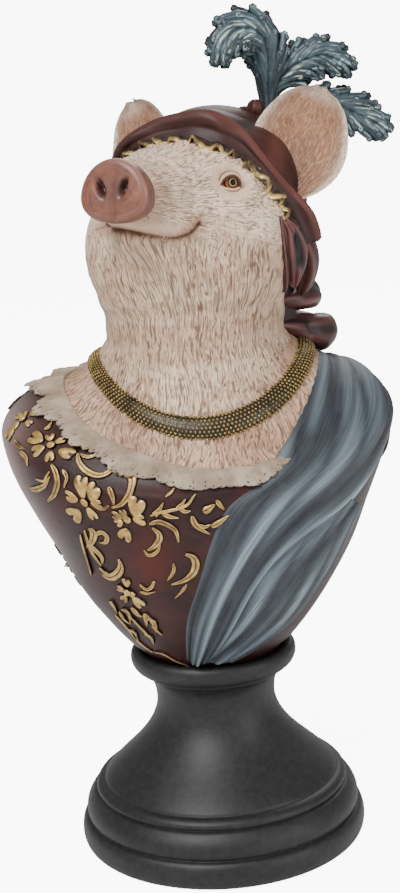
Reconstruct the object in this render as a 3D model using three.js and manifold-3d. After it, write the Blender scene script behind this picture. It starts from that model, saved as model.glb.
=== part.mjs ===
// Pig lady in a beret and court dress: a cast bust on a turned pedestal.
// Millimetres, +Z up, the viewer along -Y, the origin on the underside at the pedestal's axis.
import * as THREE from 'three';
import { mergeVertices } from 'three/addons/utils/BufferGeometryUtils.js';
import Module from 'manifold-3d';

const wasm = await Module();
wasm.setup();

// Driving dimensions
const BASE_DIAMETER = 105.8;
const PLINTH_HEIGHT = 73.4;
const SEAT_DIAMETER = 51.8;
const SEAT_DEPTH = 4.4;
const SEAT_GAP = 0.3;
const BUST_HEIGHT = 230.7;

// The bust is modelled in shares of its own height, 230.7 units from its foot to the plume's top.
const U = BUST_HEIGHT / 230.7;
const FOOT_RADIUS = SEAT_DIAMETER / 2 - 3 * SEAT_GAP;
const SEAT_Z = PLINTH_HEIGHT - SEAT_DEPTH + SEAT_GAP;

const { PI, sin, cos, abs, min, max, hypot } = Math;
const rad = THREE.MathUtils.degToRad;
const mix = THREE.MathUtils.lerp;
const vec = (x, y, z) => new THREE.Vector3(x, y, z);

// A closed manifold solid from a geometry whose seams and poles coincide.
function solid(geometry) {
  geometry.deleteAttribute('normal');
  geometry.deleteAttribute('uv');
  const merged = mergeVertices(geometry, 1e-3);
  const at = merged.index.array;
  const kept = [];
  for (let i = 0; i < at.length; i += 3) {
    const [a, b, c] = [at[i], at[i + 1], at[i + 2]];
    if (a !== b && b !== c && c !== a) kept.push(a, b, c);
  }
  const vertProperties = new Float32Array(merged.attributes.position.array);
  const build = (tris) => new wasm.Manifold(
    new wasm.Mesh({ numProp: 3, vertProperties, triVerts: new Uint32Array(tris) }));
  const body = build(kept);
  return body.volume() > 0 ? body : build([...kept].reverse());
}

// A ball or a ring mapped from the unit square; u closes on itself.
function wrap(across, along, place) {
  const geometry = new THREE.PlaneGeometry(1, 1, across, along);
  const { position, uv } = geometry.attributes;
  for (let i = 0; i < position.count; i++) {
    const p = place(uv.getX(i) % 1, uv.getY(i));
    position.setXYZ(i, p.x, p.y, p.z);
  }
  return solid(geometry);
}

// A bent sheet: u across and v along run from 0 to 1, w is 0 underneath and 1 outside.
function slab(across, along, place) {
  const geometry = new THREE.BoxGeometry(1, 1, 1, across, along, 1);
  const { position } = geometry.attributes;
  for (let i = 0; i < position.count; i++) {
    const [x, y, z] = [0, 1, 2].map((k) => position.getComponent(i, k) + 0.5);
    const p = place(x, y, z);
    position.setXYZ(i, p.x, p.y, p.z);
  }
  return solid(geometry);
}

// Smooth reading of a table of numbers or rows at t from 0 to 1.
function blend(table, t) {
  const last = table.length - 1;
  const x = min(max(t, 0), 1) * last;
  const i = min(Math.floor(x), last - 1);
  const f = x - i;
  const [a, b, c, d] = [-1, 0, 1, 2].map((k) => table[min(max(i + k, 0), last)]);
  const one = (p, q, r, s) => 0.5 * (2 * q + (r - p) * f + (2 * p - 5 * q + 4 * r - s) * f * f
    + (3 * q - p - 3 * r + s) * f * f * f);
  return Array.isArray(b) ? b.map((_, k) => one(a[k], b[k], c[k], d[k])) : one(a, b, c, d);
}

// A rounded strip along a line of points, `wide` across and `thick` towards `face`.
function strip(points, wide, thick, face, around, along) {
  const line = new THREE.CatmullRomCurve3(points.map((p) => vec(...p)));
  return wrap(around, along, (u, v) => {
    const t = (1 - cos(PI * v)) / 2;
    const way = line.getTangent(t);
    const side = vec().crossVectors(way, face).normalize();
    const out = vec().crossVectors(side, way).normalize();
    const end = sin(PI * v) ** 0.6;
    return line.getPoint(t)
      .addScaledVector(side, cos(2 * PI * u) * blend(wide, t) * end)
      .addScaledVector(out, sin(2 * PI * u) * blend(thick, t) * end);
  });
}

// Turned pedestal: foot ring, step, bead, cove and a rim with a round recess for the bust.
function pedestal() {
  const r = (mm) => mm * BASE_DIAMETER / 105.8;
  const z = (mm) => mm * PLINTH_HEIGHT / 73.4;
  const seat = SEAT_DIAMETER / 2;
  const profile = [[0, 0], [r(50.3), 0]];
  const bend = (steps, ...xy) => {
    const ends = [0, 2, 4, 6].map((k) => new THREE.Vector2(xy[k], xy[k + 1]));
    const curve = new THREE.CubicBezierCurve(...ends);
    profile.push(...curve.getPoints(steps).map((p) => [p.x, p.y]));
  };
  bend(4, r(50.8), z(0.3), r(53.8), z(1.6), r(53.4), z(9.4), r(50.8), z(10.2));
  bend(4, r(50.1), z(10.5), r(51.6), z(12.8), r(50.6), z(16.8), r(47.4), z(19.8));
  bend(3, r(46.2), z(20.1), r(47.2), z(20.9), r(46.4), z(23.2), r(43.9), z(23.7));
  bend(5, r(43.2), z(24.3), r(37.2), z(31.6), r(23.2), z(40.2), r(21.8), z(53));
  bend(3, r(21.8), z(54), r(21.8), z(58.5), seat - r(3.2), z(61.8), seat - r(0.2), z(64));
  bend(4, seat + r(0.2), z(65), seat + r(5.6), z(65.6), seat + r(5.6), z(73.2), seat + r(2.3), z(73.4));
  profile.push([seat + r(0.7), z(73)], [seat, z(72.2)]);
  profile.push([seat, PLINTH_HEIGHT - SEAT_DEPTH], [0, PLINTH_HEIGHT - SEAT_DEPTH]);
  return solid(new THREE.LatheGeometry(profile.map((p) => new THREE.Vector2(...p)), 28));
}

// Rows of the shoulders and neck in bust units: height at the sides, half width, depth in
// front, depth behind, how far the row dips in front, sideways shift.
const FOOT = FOOT_RADIUS / U;
const ROWS = [
  [0, FOOT, FOOT, FOOT, 0, 0],
  [4, FOOT + 0.1, FOOT + 0.1, FOOT + 0.1, 0, 0],
  [9, 30.5, 30, 28.5, 0, 0],
  [18, 37.5, 36.5, 32, 0, 0],
  [30, 45.5, 43, 36.5, 0, 0],
  [44, 53, 48.5, 41, 0, 0.5],
  [58, 59.6, 52, 44.5, 2, -0.4],
  [72, 65.6, 53.5, 46.5, 6, -0.9],
  [83, 68.5, 53.3, 46.5, 12, -1],
  [90.5, 68.6, 52.5, 45.5, 17, -1],
  [97, 64, 51.5, 43.5, 21, -1],
  [102.5, 55.5, 50.2, 41.5, 24, -0.6],
  [106, 46, 48.2, 39.5, 25, 1.2],
  [111, 38.7, 43.5, 37, 20, 2.5],
  [118, 31.3, 38.5, 35, 13, 0.8],
  [126, 30.2, 36, 34, 7, 1.2],
  [135, 30.5, 34, 34, 3, 1],
];
const TOP_ROW = ROWS.length - 1;

// A point of the bust's surface at a compass angle (-90 is the front) and a row.
function torso(angle, row, out = 0) {
  const at = (a, h) => {
    const [z, half, front, back, drop, shift] = blend(ROWS, h / TOP_ROW);
    const s = sin(a);
    return vec(shift + half * cos(a), (s < 0 ? front : back) * s, z - drop * max(0, -s) ** 1.6);
  };
  const a = rad(angle);
  const point = at(a, row);
  if (out === 0) return point;
  const round = at(a + 0.02, row).sub(at(a - 0.02, row));
  const rise = at(a, min(row + 0.15, TOP_ROW)).sub(at(a, max(row - 0.15, 0)));
  return point.addScaledVector(round.cross(rise).normalize(), out);
}

function torsoBody() {
  const rows = [0, 1, 2, 3.5, 5, 6.5, 8, 9, 10, 11, 12, 12.6, 13.4, 14.6, 16];
  return wrap(30, rows.length + 1, (u, v) => {
    const k = Math.round(v * (rows.length + 1)) - 1;
    if (k < 0) return vec(0, 0, ROWS[0][0]);
    if (k === rows.length) return vec(0, 0, ROWS[TOP_ROW][0]);
    return torso(360 * u, rows[k]);
  });
}

// The head looks up and to its right: side, forward and up directions about its centre.
const TURN = rad(27);
const LIFT = rad(10);
const HEAD = vec(8, -2, 162.7);
const AHEAD = vec(-sin(TURN) * cos(LIFT), -cos(TURN) * cos(LIFT), sin(LIFT));
const SIDE = vec(cos(TURN), -sin(TURN), 0);
const UP = vec().crossVectors(AHEAD, SIDE);
const onHead = (s, f, u) => HEAD.clone().addScaledVector(SIDE, s).addScaledVector(AHEAD, f)
  .addScaledVector(UP, u);

// Signed distances, all roughly to scale, and a smooth union.
function ball([x, y, z], centre, radii) {
  const d = [x - centre[0], y - centre[1], z - centre[2]];
  const k0 = hypot(d[0] / radii[0], d[1] / radii[1], d[2] / radii[2]);
  const k1 = hypot(d[0] / radii[0] ** 2, d[1] / radii[1] ** 2, d[2] / radii[2] ** 2);
  return k0 * (k0 - 1) / max(k1, 1e-9);
}
function taper(p, a, b, ra, rb) {
  const ab = [0, 1, 2].map((k) => b[k] - a[k]);
  const ap = [0, 1, 2].map((k) => p[k] - a[k]);
  const dot = ap[0] * ab[0] + ap[1] * ab[1] + ap[2] * ab[2];
  const t = min(max(dot / (ab[0] ** 2 + ab[1] ** 2 + ab[2] ** 2), 0), 1);
  return hypot(ap[0] - ab[0] * t, ap[1] - ab[1] * t, ap[2] - ab[2] * t) - mix(ra, rb, t);
}
function melt(a, b, k) {
  const h = max(k - abs(a - b), 0) / k;
  return min(a, b) - h * h * k / 4;
}

// Skull, jowls, snout, lower jaw and throat, melted into the neck.
function skin(point) {
  const d = point.clone().sub(HEAD);
  const [s, f, u] = [d.dot(SIDE), d.dot(AHEAD), d.dot(UP)];
  const even = [abs(s), f, u];
  let face = ball(even, [0, -2, 4], [29, 31, 25]);
  face = melt(face, ball(even, [13, 9, -12], [20, 25, 21]), 8);
  face = melt(face, taper([s * 0.86, f, u], [0, 12, 2], [0, 53, -1], 20, 10), 9);
  face = melt(face, taper([s * 0.86, f, u], [0, 12, -17], [0, 48, -12], 17, 8), 6);
  const p = [point.x, point.y, point.z];
  let throat = taper(p, [1, -1, 112], [1.5, -1, 150], 30.5, 30.5);
  throat = melt(throat, ball(p, [-3.8, -15, 147], [27.5, 22.5, 23]), 14);
  return melt(face, throat, 14);
}

// Where a ray coming back from afar along `way` first meets the skin.
function meet(centre, way, far) {
  const ray = (t) => centre.clone().addScaledVector(way, t);
  let t = far;
  while (skin(ray(t)) > 0.02 && t > 5) t -= max(skin(ray(t)) * 0.5, 0.02);
  return ray(t);
}

function headBody() {
  const centre = onHead(0, 12, -6);
  return wrap(20, 13, (u, v) => {
    const tilt = PI * v ** 1.15;
    const way = vec().addScaledVector(AHEAD, cos(tilt))
      .addScaledVector(SIDE, sin(tilt) * cos(2 * PI * u))
      .addScaledVector(UP, sin(tilt) * sin(2 * PI * u));
    return meet(centre, way, 90);
  });
}

// Snout plate: a rounded heart, wider below, with two nostrils cut in.
function snout() {
  const plate = wrap(16, 6, (u, v) => {
    const a = 2 * PI * u;
    const [open, f] = blend([[0, 67], [0.5, 67.3], [0.86, 67.2], [1, 65], [0.97, 62], [0.88, 59], [0, 54]], v);
    return onHead(open * 11.9 * cos(a) * (1 - 0.17 * sin(a)), f + 0.6 * sin(a), open * 10 * sin(a) - 0.8);
  });
  const pit = (s) => wrap(7, 4, (u, v) => onHead(
    s + 2.1 * sin(PI * v) * cos(2 * PI * u), 68.2 - 3.4 * cos(PI * v), 3.2 * sin(PI * v) * sin(2 * PI * u)));
  return plate.subtract(pit(4.8)).subtract(pit(-4.8));
}

// The smile: a groove from cheek to cheek under the snout.
function smile() {
  const half = [[0, -12.8], [5, -13.6], [9.5, -14.4], [12, -13.5], [14, -12], [15.5, -10]];
  const line = [...half.slice(1).reverse().map(([s, u]) => [-s, u]), ...half];
  const points = line.map(([s, u]) => meet(onHead(s, 0, u), AHEAD, 70).toArray());
  return strip(points, [0.8, 1, 0.8], [1.5, 1.6, 1.5], AHEAD, 5, 10);
}

function eye(hand) {
  const gaze = vec().addScaledVector(SIDE, 0.72 * hand).addScaledVector(AHEAD, 0.69).addScaledVector(UP, 0.05);
  const centre = meet(onHead(3 * hand, 9.5, 3.5), gaze.normalize(), 60).addScaledVector(gaze, -1.4);
  const lid = new THREE.Quaternion().setFromUnitVectors(vec(0, 0, 1), gaze);
  return wrap(8, 4, (u, v) => vec(
    5.2 * sin(PI * v) * cos(2 * PI * u), 4.2 * sin(PI * v) * sin(2 * PI * u), 3.2 * cos(PI * v))
    .applyQuaternion(lid).add(centre));
}

// A cupped ear, hollow side forward; hand is +1 for the pig's left.
function ear(hand, foot, tip, width) {
  const axis = vec(tip[0] - foot[0], tip[1] - foot[1], tip[2] - foot[2]);
  const face = vec(0.44, 0.885, 0);
  face.addScaledVector(axis, -face.dot(axis) / axis.lengthSq()).normalize();
  const span = vec().crossVectors(axis, face).normalize();
  return slab(5, 7, (u, v, w) => {
    const x = 2 * u - 1;
    const half = width * blend([6, 11.5, 15, 16.4, 16, 14, 10.5, 4], v);
    const cup = 7.5 * x * x * (1 - 0.5 * v) - 3.5 * sin(PI * v) + 2 * v;
    const q = vec(...foot).addScaledVector(axis, v).addScaledVector(span, x * half)
      .addScaledVector(face, cup + (w - 0.7) * mix(4.2, 2.2, v) * (1 - 0.45 * x * x));
    return onHead(q.x * hand, q.y, q.z);
  });
}

// Around the hat band: angle from the top, distance from its centre, distance forward.
const band = (angle, out, on) => onHead(out * sin(rad(angle)),
  3.9 + 0.65 * out * cos(rad(angle)) + 0.76 * on,
  -4.7 + 0.76 * out * cos(rad(angle)) - 0.65 * on);

function beret() {
  const crown = wrap(14, 7, (u, v) => {
    const sag = 1 + 0.03 * sin(6 * PI * u) * sin(PI * v);
    return onHead(29 * sin(PI * v) * cos(2 * PI * u) * sag - 2, -10 + 28 * sin(PI * v) * sin(2 * PI * u) * sag,
      11 - 25 * cos(PI * v));
  });
  // The brim turns up from the forehead to a thick lip.
  const lip = [33, 33, 34, 36, 37, 38.5, 38, 38.4, 40.2, 38, 34, 33.2, 34.5, 41.5, 46.6];
  const back = [-12, -11, -9, -5, -1, -1, -5, -6.5, -7, -7, -7, -6, -7, -9, -11];
  const brim = slab(3, 19, (u, v, w) => {
    const angle = mix(-112, 114, v);
    const ends = min(1, 6 * min(v, 1 - v) + 0.25);
    const rise = blend([0, 0.32, 0.66, 0.9, 1], u) * (0.4 + 0.6 * ends);
    const root = blend([31.5, 31.5, 31.5, 31.5, 31.5, 31.5, 31.5, 31.5, 31.5, 31.5, 31.5, 31.5, 32, 34.5, 38], v);
    const out = mix(root, blend(lip, v), rise) - 1.6 * sin(PI * u);
    const thick = blend([4, 3.4, 3.6, 5.4, 3.4], u);
    return band(angle, out + (w - 0.5) * thick * 0.45, mix(1.5, blend(back, v), rise) + (w - 0.6) * thick);
  });
  // The frill stands forward from the band and waves in and out.
  const frill = slab(1, 24, (u, v, w) => {
    const wave = 1.5 * sin(16 * PI * v) * (0.25 + 0.75 * u);
    return band(mix(-58, 98, v), 33.4 + wave + (w - 0.5) * 1.6, 0.3 + 3.4 * u);
  });
  const knot = wrap(8, 5, (u, v) => vec(26.5 + 6.5 * sin(PI * v) * cos(2 * PI * u),
    11 + 8 * sin(PI * v) * sin(2 * PI * u), 189.5 - 6 * cos(PI * v)));
  return [crown, brim, frill, knot];
}

// Cloth hanging from the beret: a looped ribbon by the cheek, rolls round the nape, a fall behind.
function drapery() {
  const out = vec(0.35, -0.94, 0);
  const loop = strip([[32.8, -28.5, 158.5], [34.9, -28, 154.8], [35.9, -27, 150.3], [36.1, -24.5, 145.8],
    [35.7, -21, 141.1], [35.2, -16, 135]], [1.6, 2.6, 3.8, 4, 3.2, 2], [3, 3.4, 4, 4, 3.6, 3], out, 7, 7);
  const fold = strip([[36, -8, 157], [40, -5, 150], [42, -1, 143], [41.5, 3, 136], [39, 6, 129]],
    [3, 3.6, 3.6, 3.4, 3], [3, 3.6, 3.8, 3.6, 3], out, 6, 6);
  const upper = strip([[30, 3, 127], [38, 8, 127.5], [42, 18, 128], [34, 30, 129], [16, 37, 130],
    [-4, 37, 130], [-18, 31, 129.5], [-25, 22, 129], [-24, 13, 128]],
    [4.5, 5.6, 6.4, 6.6, 6.6, 6.4, 6, 5, 3.5], [5, 5.5, 6, 6, 6, 6, 6, 5, 3.5], vec(0, 0, 1), 6, 13);
  const lower = strip([[29, 1, 120], [38, 8, 117], [46, 17, 114], [42, 30, 113], [24, 40, 114],
    [0, 41, 115], [-16, 37, 115], [-26, 28, 115], [-26, 18, 116]],
    [4, 6, 7.4, 7.2, 7, 7, 6.6, 5.4, 3.5], [4.5, 6, 7.2, 7, 7, 7, 6.4, 5.4, 3.5], vec(0, 0, 1), 6, 13);
  const fall = slab(9, 2, (u, v, w) => {
    const angle = mix(-22, 196, u);
    const fold = 1.6 * cos(rad(angle) * 9);
    const reach = mix(mix(26, 33.5, v ** 0.7) + fold * (0.4 + 0.6 * v), 16, 1 - w);
    return vec(3 + reach * cos(rad(angle)) * 1.03, 3 + reach * sin(rad(angle)), mix(126, 163, v));
  });
  return [loop, fold, upper, lower, fall];
}

// Three plumes at the beret's left, flat side to the viewer.
function plumes() {
  const face = vec(0, -1, 0.1);
  const main = strip([[28.5, 19, 186], [31.6, 22, 194.4], [32, 21.5, 202.5], [32.4, 20, 210], [31, 18, 217.5],
    [26, 14, 221.5], [20.5, 11, 220.6], [16.6, 8, 216], [15.4, 7, 211]],
    [3, 3.6, 4.8, 6.6, 7.8, 7.8, 7, 5, 2], [3, 3, 3, 3.2, 3.4, 3.4, 3.2, 3, 2], face, 7, 14);
  const second = strip([[29, 20, 190], [34, 24, 201], [40, 24, 207], [46, 24, 210], [52, 23, 211], [57.6, 22, 209],
    [61.5, 20, 206]], [3, 4.6, 7, 7, 6.6, 4.6, 2], [3, 3, 3, 3, 3, 2.6, 2], face, 6, 9);
  const third = strip([[27, 19, 188], [35, 23, 193], [43.7, 26, 195], [52.9, 28, 194.4], [60.2, 30, 192], [66.3, 31, 189],
    [72.1, 32, 185.4], [74.9, 32, 183]], [3, 4, 5.4, 6.6, 7.2, 6.8, 4.4, 2], [3, 3, 3, 3, 3, 3, 2.6, 2], face, 6, 10);
  return [main, second, third];
}

// Sash over the left shoulder: its inner and outer edges as compass angle and row.
function sash() {
  const inner = [[104, 7.2], [75, 9.6], [45, 11.4], [15, 12.5], [-19, 12.6], [-45, 12.1], [-60, 11.3], [-72, 9.8],
    [-80, 8], [-87.5, 6.2], [-95, 4.8], [-102, 3.6], [-108.5, 1.9]];
  const outer = [[84, 4], [64, 5.8], [42, 7.4], [20, 8], [2, 7.6], [-12, 7.1], [-24, 6.7], [-36, 6.2], [-50, 5.9],
    [-62, 5.4], [-71, 4.6], [-80, 3.2], [-92, 1.8]];
  const under = [[-40, 6.6], [-56, 5.9], [-70, 5], [-79, 4], [-88, 2.9], [-96, 1.7]];
  const lower = [[-22, 5.9], [-24, 5], [-28, 4], [-38, 3], [-55, 2.2], [-72, 1.6]];
  const sheet = (from, to, across, along, thick, folds) => slab(across, along, (u, v, w) => {
    const a = blend(from, v);
    const b = blend(to, v);
    const fold = thick + folds * (0.5 + 0.5 * cos(2 * PI * (2.4 * u + 0.5 * v))) * sin(PI * u) ** 0.5;
    return torso(mix(a[0], b[0], u), mix(a[1], b[1], u), w ? fold : -2.2);
  });
  return [sheet(inner, outer, 5, 15, 1.2, 1.8), sheet(under, lower, 3, 6, 0.7, 1.3)];
}

// Waved lace edge of the low neckline, and the beaded necklace above it.
function laceEdge() {
  const hem = [[-180, 11.3], [-168, 11.2], [-145, 11.1], [-130, 11.1], [-112, 10.3], [-104, 10.6], [-92, 9.4],
    [-83, 9.5], [-74, 9.1], [-62, 10.2], [-45, 11.2], [0, 11.4], [90, 11.4], [150, 11.4], [180, 11.3]];
  const hemRow = (angle) => {
    const k = hem.findIndex((p) => p[0] >= angle);
    const [a, b] = [hem[max(k - 1, 0)], hem[k]];
    return a === b ? b[1] : mix(a[1], b[1], (angle - a[0]) / (b[0] - a[0]));
  };
  return wrap(42, 4, (u, v) => {
    const angle = 360 * u - 180;
    const [open, out] = [[0, 1.1], [1, 2.2], [1, -1.5], [0, -1.5], [0, 1.1]][Math.round(4 * v)];
    const flare = open * (0.6 + 0.6 * sin(rad(angle) * 14)) * (out > 0 ? 1 : 0);
    const top = 12.35 - 1.3 * max(0, cos(rad(angle + 62))) ** 8;
    return torso(angle, mix(top, hemRow(angle), open), out + flare);
  });
}

function necklace() {
  return wrap(28, 4, (u, v) => torso(360 * u - 180, 13.15 + 0.26 * cos(2 * PI * v), 0.4 + 1.7 * sin(2 * PI * v)));
}

// Gilt relief on the bodice. A spot is a compass angle and a row; x and y are bust units from it.
function near(angle, row, x, y, out) {
  const across = torso(angle + 1, row).distanceTo(torso(angle - 1, row)) / 2;
  const up = torso(angle, row + 0.1).distanceTo(torso(angle, row - 0.1)) / 0.2;
  return torso(angle + x / across, row + y / up, out);
}

// A flower of notched petals about a boss.
function flower(angle, row, radius, petals, turn) {
  const rings = [[0, -1.5], [1, -1.5], [0.92, 1.1], [0, 1.3]];
  return wrap(4 * petals, 3, (u, v) => {
    const [open, out] = rings[Math.round(3 * v)];
    const a = 2 * PI * u;
    const reach = open * radius * (0.78 + 0.22 * cos(petals * a));
    return near(angle, row, reach * cos(a + rad(turn)), reach * sin(a + rad(turn)), out);
  });
}

// A scroll or leaf along spots, widest towards one end.
function scroll(spots, width) {
  const points = spots.map(([angle, row]) => torso(angle, row, 0.2).toArray());
  const [angle, row] = spots[1];
  const face = torso(angle, row, 1).sub(torso(angle, row)).normalize();
  return strip(points, [0.5, width, width, 0.4], [1, 1.3, 1.3, 0.8], face, 3, spots.length + 1);
}

function relief() {
  const flowers = [[-160.7, 10.2, 4.6, 5, 20], [-141.2, 10.2, 5.6, 5, -90], [-124.3, 7.5, 6.4, 6, 10],
    [-111.8, 6.9, 5.6, 5, 50], [-123.8, 4.5, 4.8, 5, 95]];
  const scrolls = [
    [[-131.4, 10.5], [-126.6, 10], [-121.1, 9.7], [-118, 10.2], [-119.9, 10.8]],
    [[-115.7, 10.2], [-112, 10.4], [-109.5, 9.4], [-110.3, 8.2], [-116, 7.4]],
    [[-136.3, 9.1], [-133.1, 8.5], [-134.5, 7.7], [-140.6, 7.1]],
    [[-130.6, 6.4], [-130.5, 5.6], [-128.3, 4.9], [-122.9, 5], [-120.7, 5.5]],
    [[-103.9, 7.2], [-98.8, 7.4], [-94.4, 7.9], [-91, 8.7]],
    [[-105.5, 6.8], [-100.9, 6.8], [-98.1, 6.5], [-98.2, 6]],
    [[-104.5, 6.6], [-103.6, 6.2], [-105.8, 5.9], [-110, 5.7]],
    [[-96.7, 5.8], [-94.4, 5.4], [-96.7, 5], [-101.3, 4.8], [-105.6, 4.9]],
    [[-132.2, 3.9], [-129.1, 3.7], [-126.8, 3.4], [-125.1, 3.1]],
    [[-139.4, 3.7], [-137.5, 3.2], [-136.4, 2.7], [-131.6, 2.3]],
  ];
  return [...flowers.map((f) => flower(...f)), ...scrolls.map((spots) => scroll(spots, 1))];
}

function bust() {
  const parts = [headBody().subtract(smile()), snout(), eye(1), eye(-1), ear(1, [26, -2, 2], [37.5, -9, 39.5], 1), ear(-1, [23, -2, 2], [31.5, -9, 38.5], 1.1), ...beret(),
    ...drapery(), ...plumes(), ...sash(), laceEdge(), necklace(), ...relief()];
  return parts.reduce((whole, part) => whole.add(part), torsoBody());
}

function meshOf(body, name, material) {
  const { vertProperties, triVerts } = body.getMesh();
  const geometry = new THREE.BufferGeometry();
  geometry.setAttribute('position', new THREE.BufferAttribute(vertProperties, 3));
  geometry.setIndex(new THREE.BufferAttribute(triVerts, 1));
  geometry.computeVertexNormals();
  const mesh = new THREE.Mesh(geometry, new THREE.MeshStandardMaterial(material));
  mesh.name = name;
  return mesh;
}

const turned = pedestal().rotate([90, 0, 0]);
const seated = bust().scale([U, U, U]).translate([0, 0, SEAT_Z]);

const figurine = new THREE.Group();
figurine.name = 'pig_figurine';
figurine.add(
  meshOf(turned, 'plinth', { color: '#26262a', roughness: 0.5, metalness: 0 }),
  meshOf(seated, 'pig_bust', { color: '#a08274', roughness: 0.6, metalness: 0 }),
);

export default figurine;
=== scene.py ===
# %% [markdown]
# This scene dresses a cast resin figurine: the bust of a pig lady in a beret and court dress,
# seated in a turned black pedestal. The real one is painted cast resin, so nearly every surface
# is carved relief under thin paint. The solids of the frame give place and size. The
# pieces here repeat the same loft and the same head shape with far finer relief.

# %% Frame and measures
import math

import bpy
import numpy as np
from mathutils import Matrix, Vector
from mathutils.bvhtree import BVHTree


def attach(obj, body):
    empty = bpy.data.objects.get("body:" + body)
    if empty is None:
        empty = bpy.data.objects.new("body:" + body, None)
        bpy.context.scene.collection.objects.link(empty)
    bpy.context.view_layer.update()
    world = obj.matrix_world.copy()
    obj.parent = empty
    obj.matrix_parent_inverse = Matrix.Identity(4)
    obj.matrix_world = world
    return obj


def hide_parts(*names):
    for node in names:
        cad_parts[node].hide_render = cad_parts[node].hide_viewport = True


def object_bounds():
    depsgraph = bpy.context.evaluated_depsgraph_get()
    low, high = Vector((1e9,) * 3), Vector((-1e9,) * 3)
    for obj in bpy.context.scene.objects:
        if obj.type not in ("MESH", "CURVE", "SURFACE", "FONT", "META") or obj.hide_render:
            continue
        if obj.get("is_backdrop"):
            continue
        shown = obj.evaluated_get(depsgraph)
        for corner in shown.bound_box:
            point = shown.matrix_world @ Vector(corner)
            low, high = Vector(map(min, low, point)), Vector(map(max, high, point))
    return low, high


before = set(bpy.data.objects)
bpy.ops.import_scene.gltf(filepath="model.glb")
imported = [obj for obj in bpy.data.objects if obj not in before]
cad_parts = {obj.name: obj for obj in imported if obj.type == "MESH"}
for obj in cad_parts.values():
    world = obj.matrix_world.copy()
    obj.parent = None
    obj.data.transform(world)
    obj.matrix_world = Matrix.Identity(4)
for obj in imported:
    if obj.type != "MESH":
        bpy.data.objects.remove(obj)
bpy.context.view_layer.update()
SEAT_Z = 69.3            # mm, where the bust's foot rests in the pedestal
SEAT_RADIUS = 25.9
rng = np.random.default_rng(7)

# %% [markdown]
# The camera of the photograph stands about half a metre in front, a little below the hat's
# height, and looks down by some twelve degrees. Its place follows from the ellipses of the
# pedestal's rings. The same numbers let an ornament be placed where the photograph shows it.

# %% Camera
EYE = np.array([0.0, -560.0, 270.0])
PHOTO_WIDE, PHOTO_HIGH = 400, 893
FOCAL = 1599.0           # in pixels of the photograph
PITCH, ROLL = math.radians(-12.4), math.radians(3.7)
AHEAD_VIEW = np.array([0, math.cos(PITCH), math.sin(PITCH)])
UP_VIEW = np.array([0, -math.sin(PITCH), math.cos(PITCH)])
RIGHT_VIEW = np.array([1.0, 0, 0])
RIGHT_TILTED = RIGHT_VIEW * math.cos(ROLL) - UP_VIEW * math.sin(ROLL)
UP_TILTED = RIGHT_VIEW * math.sin(ROLL) + UP_VIEW * math.cos(ROLL)


def to_pixel(points):
    """Pixels of the 400 by 893 photograph for points in bust millimetres."""
    d = points + [0, 0, SEAT_Z] - EYE
    far = d @ AHEAD_VIEW
    return np.stack([PHOTO_WIDE / 2 + FOCAL * (d @ RIGHT_TILTED) / far,
                     PHOTO_HIGH / 2 - FOCAL * (d @ UP_TILTED) / far], -1)


lens = bpy.data.cameras.new("photo_camera")
lens.lens = FOCAL / PHOTO_HIGH * 36
lens.sensor_width = 36
lens.clip_end = 20
camera = bpy.data.objects.new("photo_camera", lens)
bpy.context.scene.collection.objects.link(camera)
axes = np.stack([RIGHT_TILTED, UP_TILTED, -AHEAD_VIEW], 1)
camera.matrix_world = Matrix.Translation(Vector(EYE / 1000)) @ Matrix(axes.tolist()).to_4x4()
bpy.context.scene.camera = camera
print("lens", round(lens.lens, 1), "mm")

# %% [markdown]
# Everything is built from closed shapes. A shape is a stack of rings, such as the turns of a
# rolled cloth or the cross-sections of a leaf, closed at both ends. Casting gathers shapes that
# share one paint into one piece, with marks that the paint reads: how deep a groove is, or
# where the gilding sits. Numpy makes the points, so that a fine carving stays quick.

# %% Shapes out of rings
def smooth_table(table, t):
    """Reads a table of rows smoothly at t from 0 to 1."""
    table = np.asarray(table, float)
    last = len(table) - 1
    x = np.clip(np.asarray(t, float), 0, 1) * last
    i = np.minimum(x.astype(int), last - 1)
    f = (x - i)[(...,) + (None,) * (table.ndim - 1)]
    a, b, c, d = (table[np.clip(i + k, 0, last)] for k in (-1, 0, 1, 2))
    return 0.5 * (2 * b + (c - a) * f + (2 * a - 5 * b + 4 * c - d) * f ** 2
                  + (3 * b - a - 3 * c + d) * f ** 3)


def unit(v):
    return v / np.maximum(np.linalg.norm(v, axis=-1, keepdims=True), 1e-9)


def step(low, high, x):
    t = np.clip((x - low) / (high - low), 0, 1)
    return t * t * (3 - 2 * t)


print("a table of 1, 2, 4 read halfway gives", smooth_table([1, 2, 4], 0.5))

# %% [markdown]
# A casting is one piece under one paint. It turns each stack of rings into faces that all look
# outwards, whichever way the rings were wound, and keeps the flow map and the marks with them.

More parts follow.
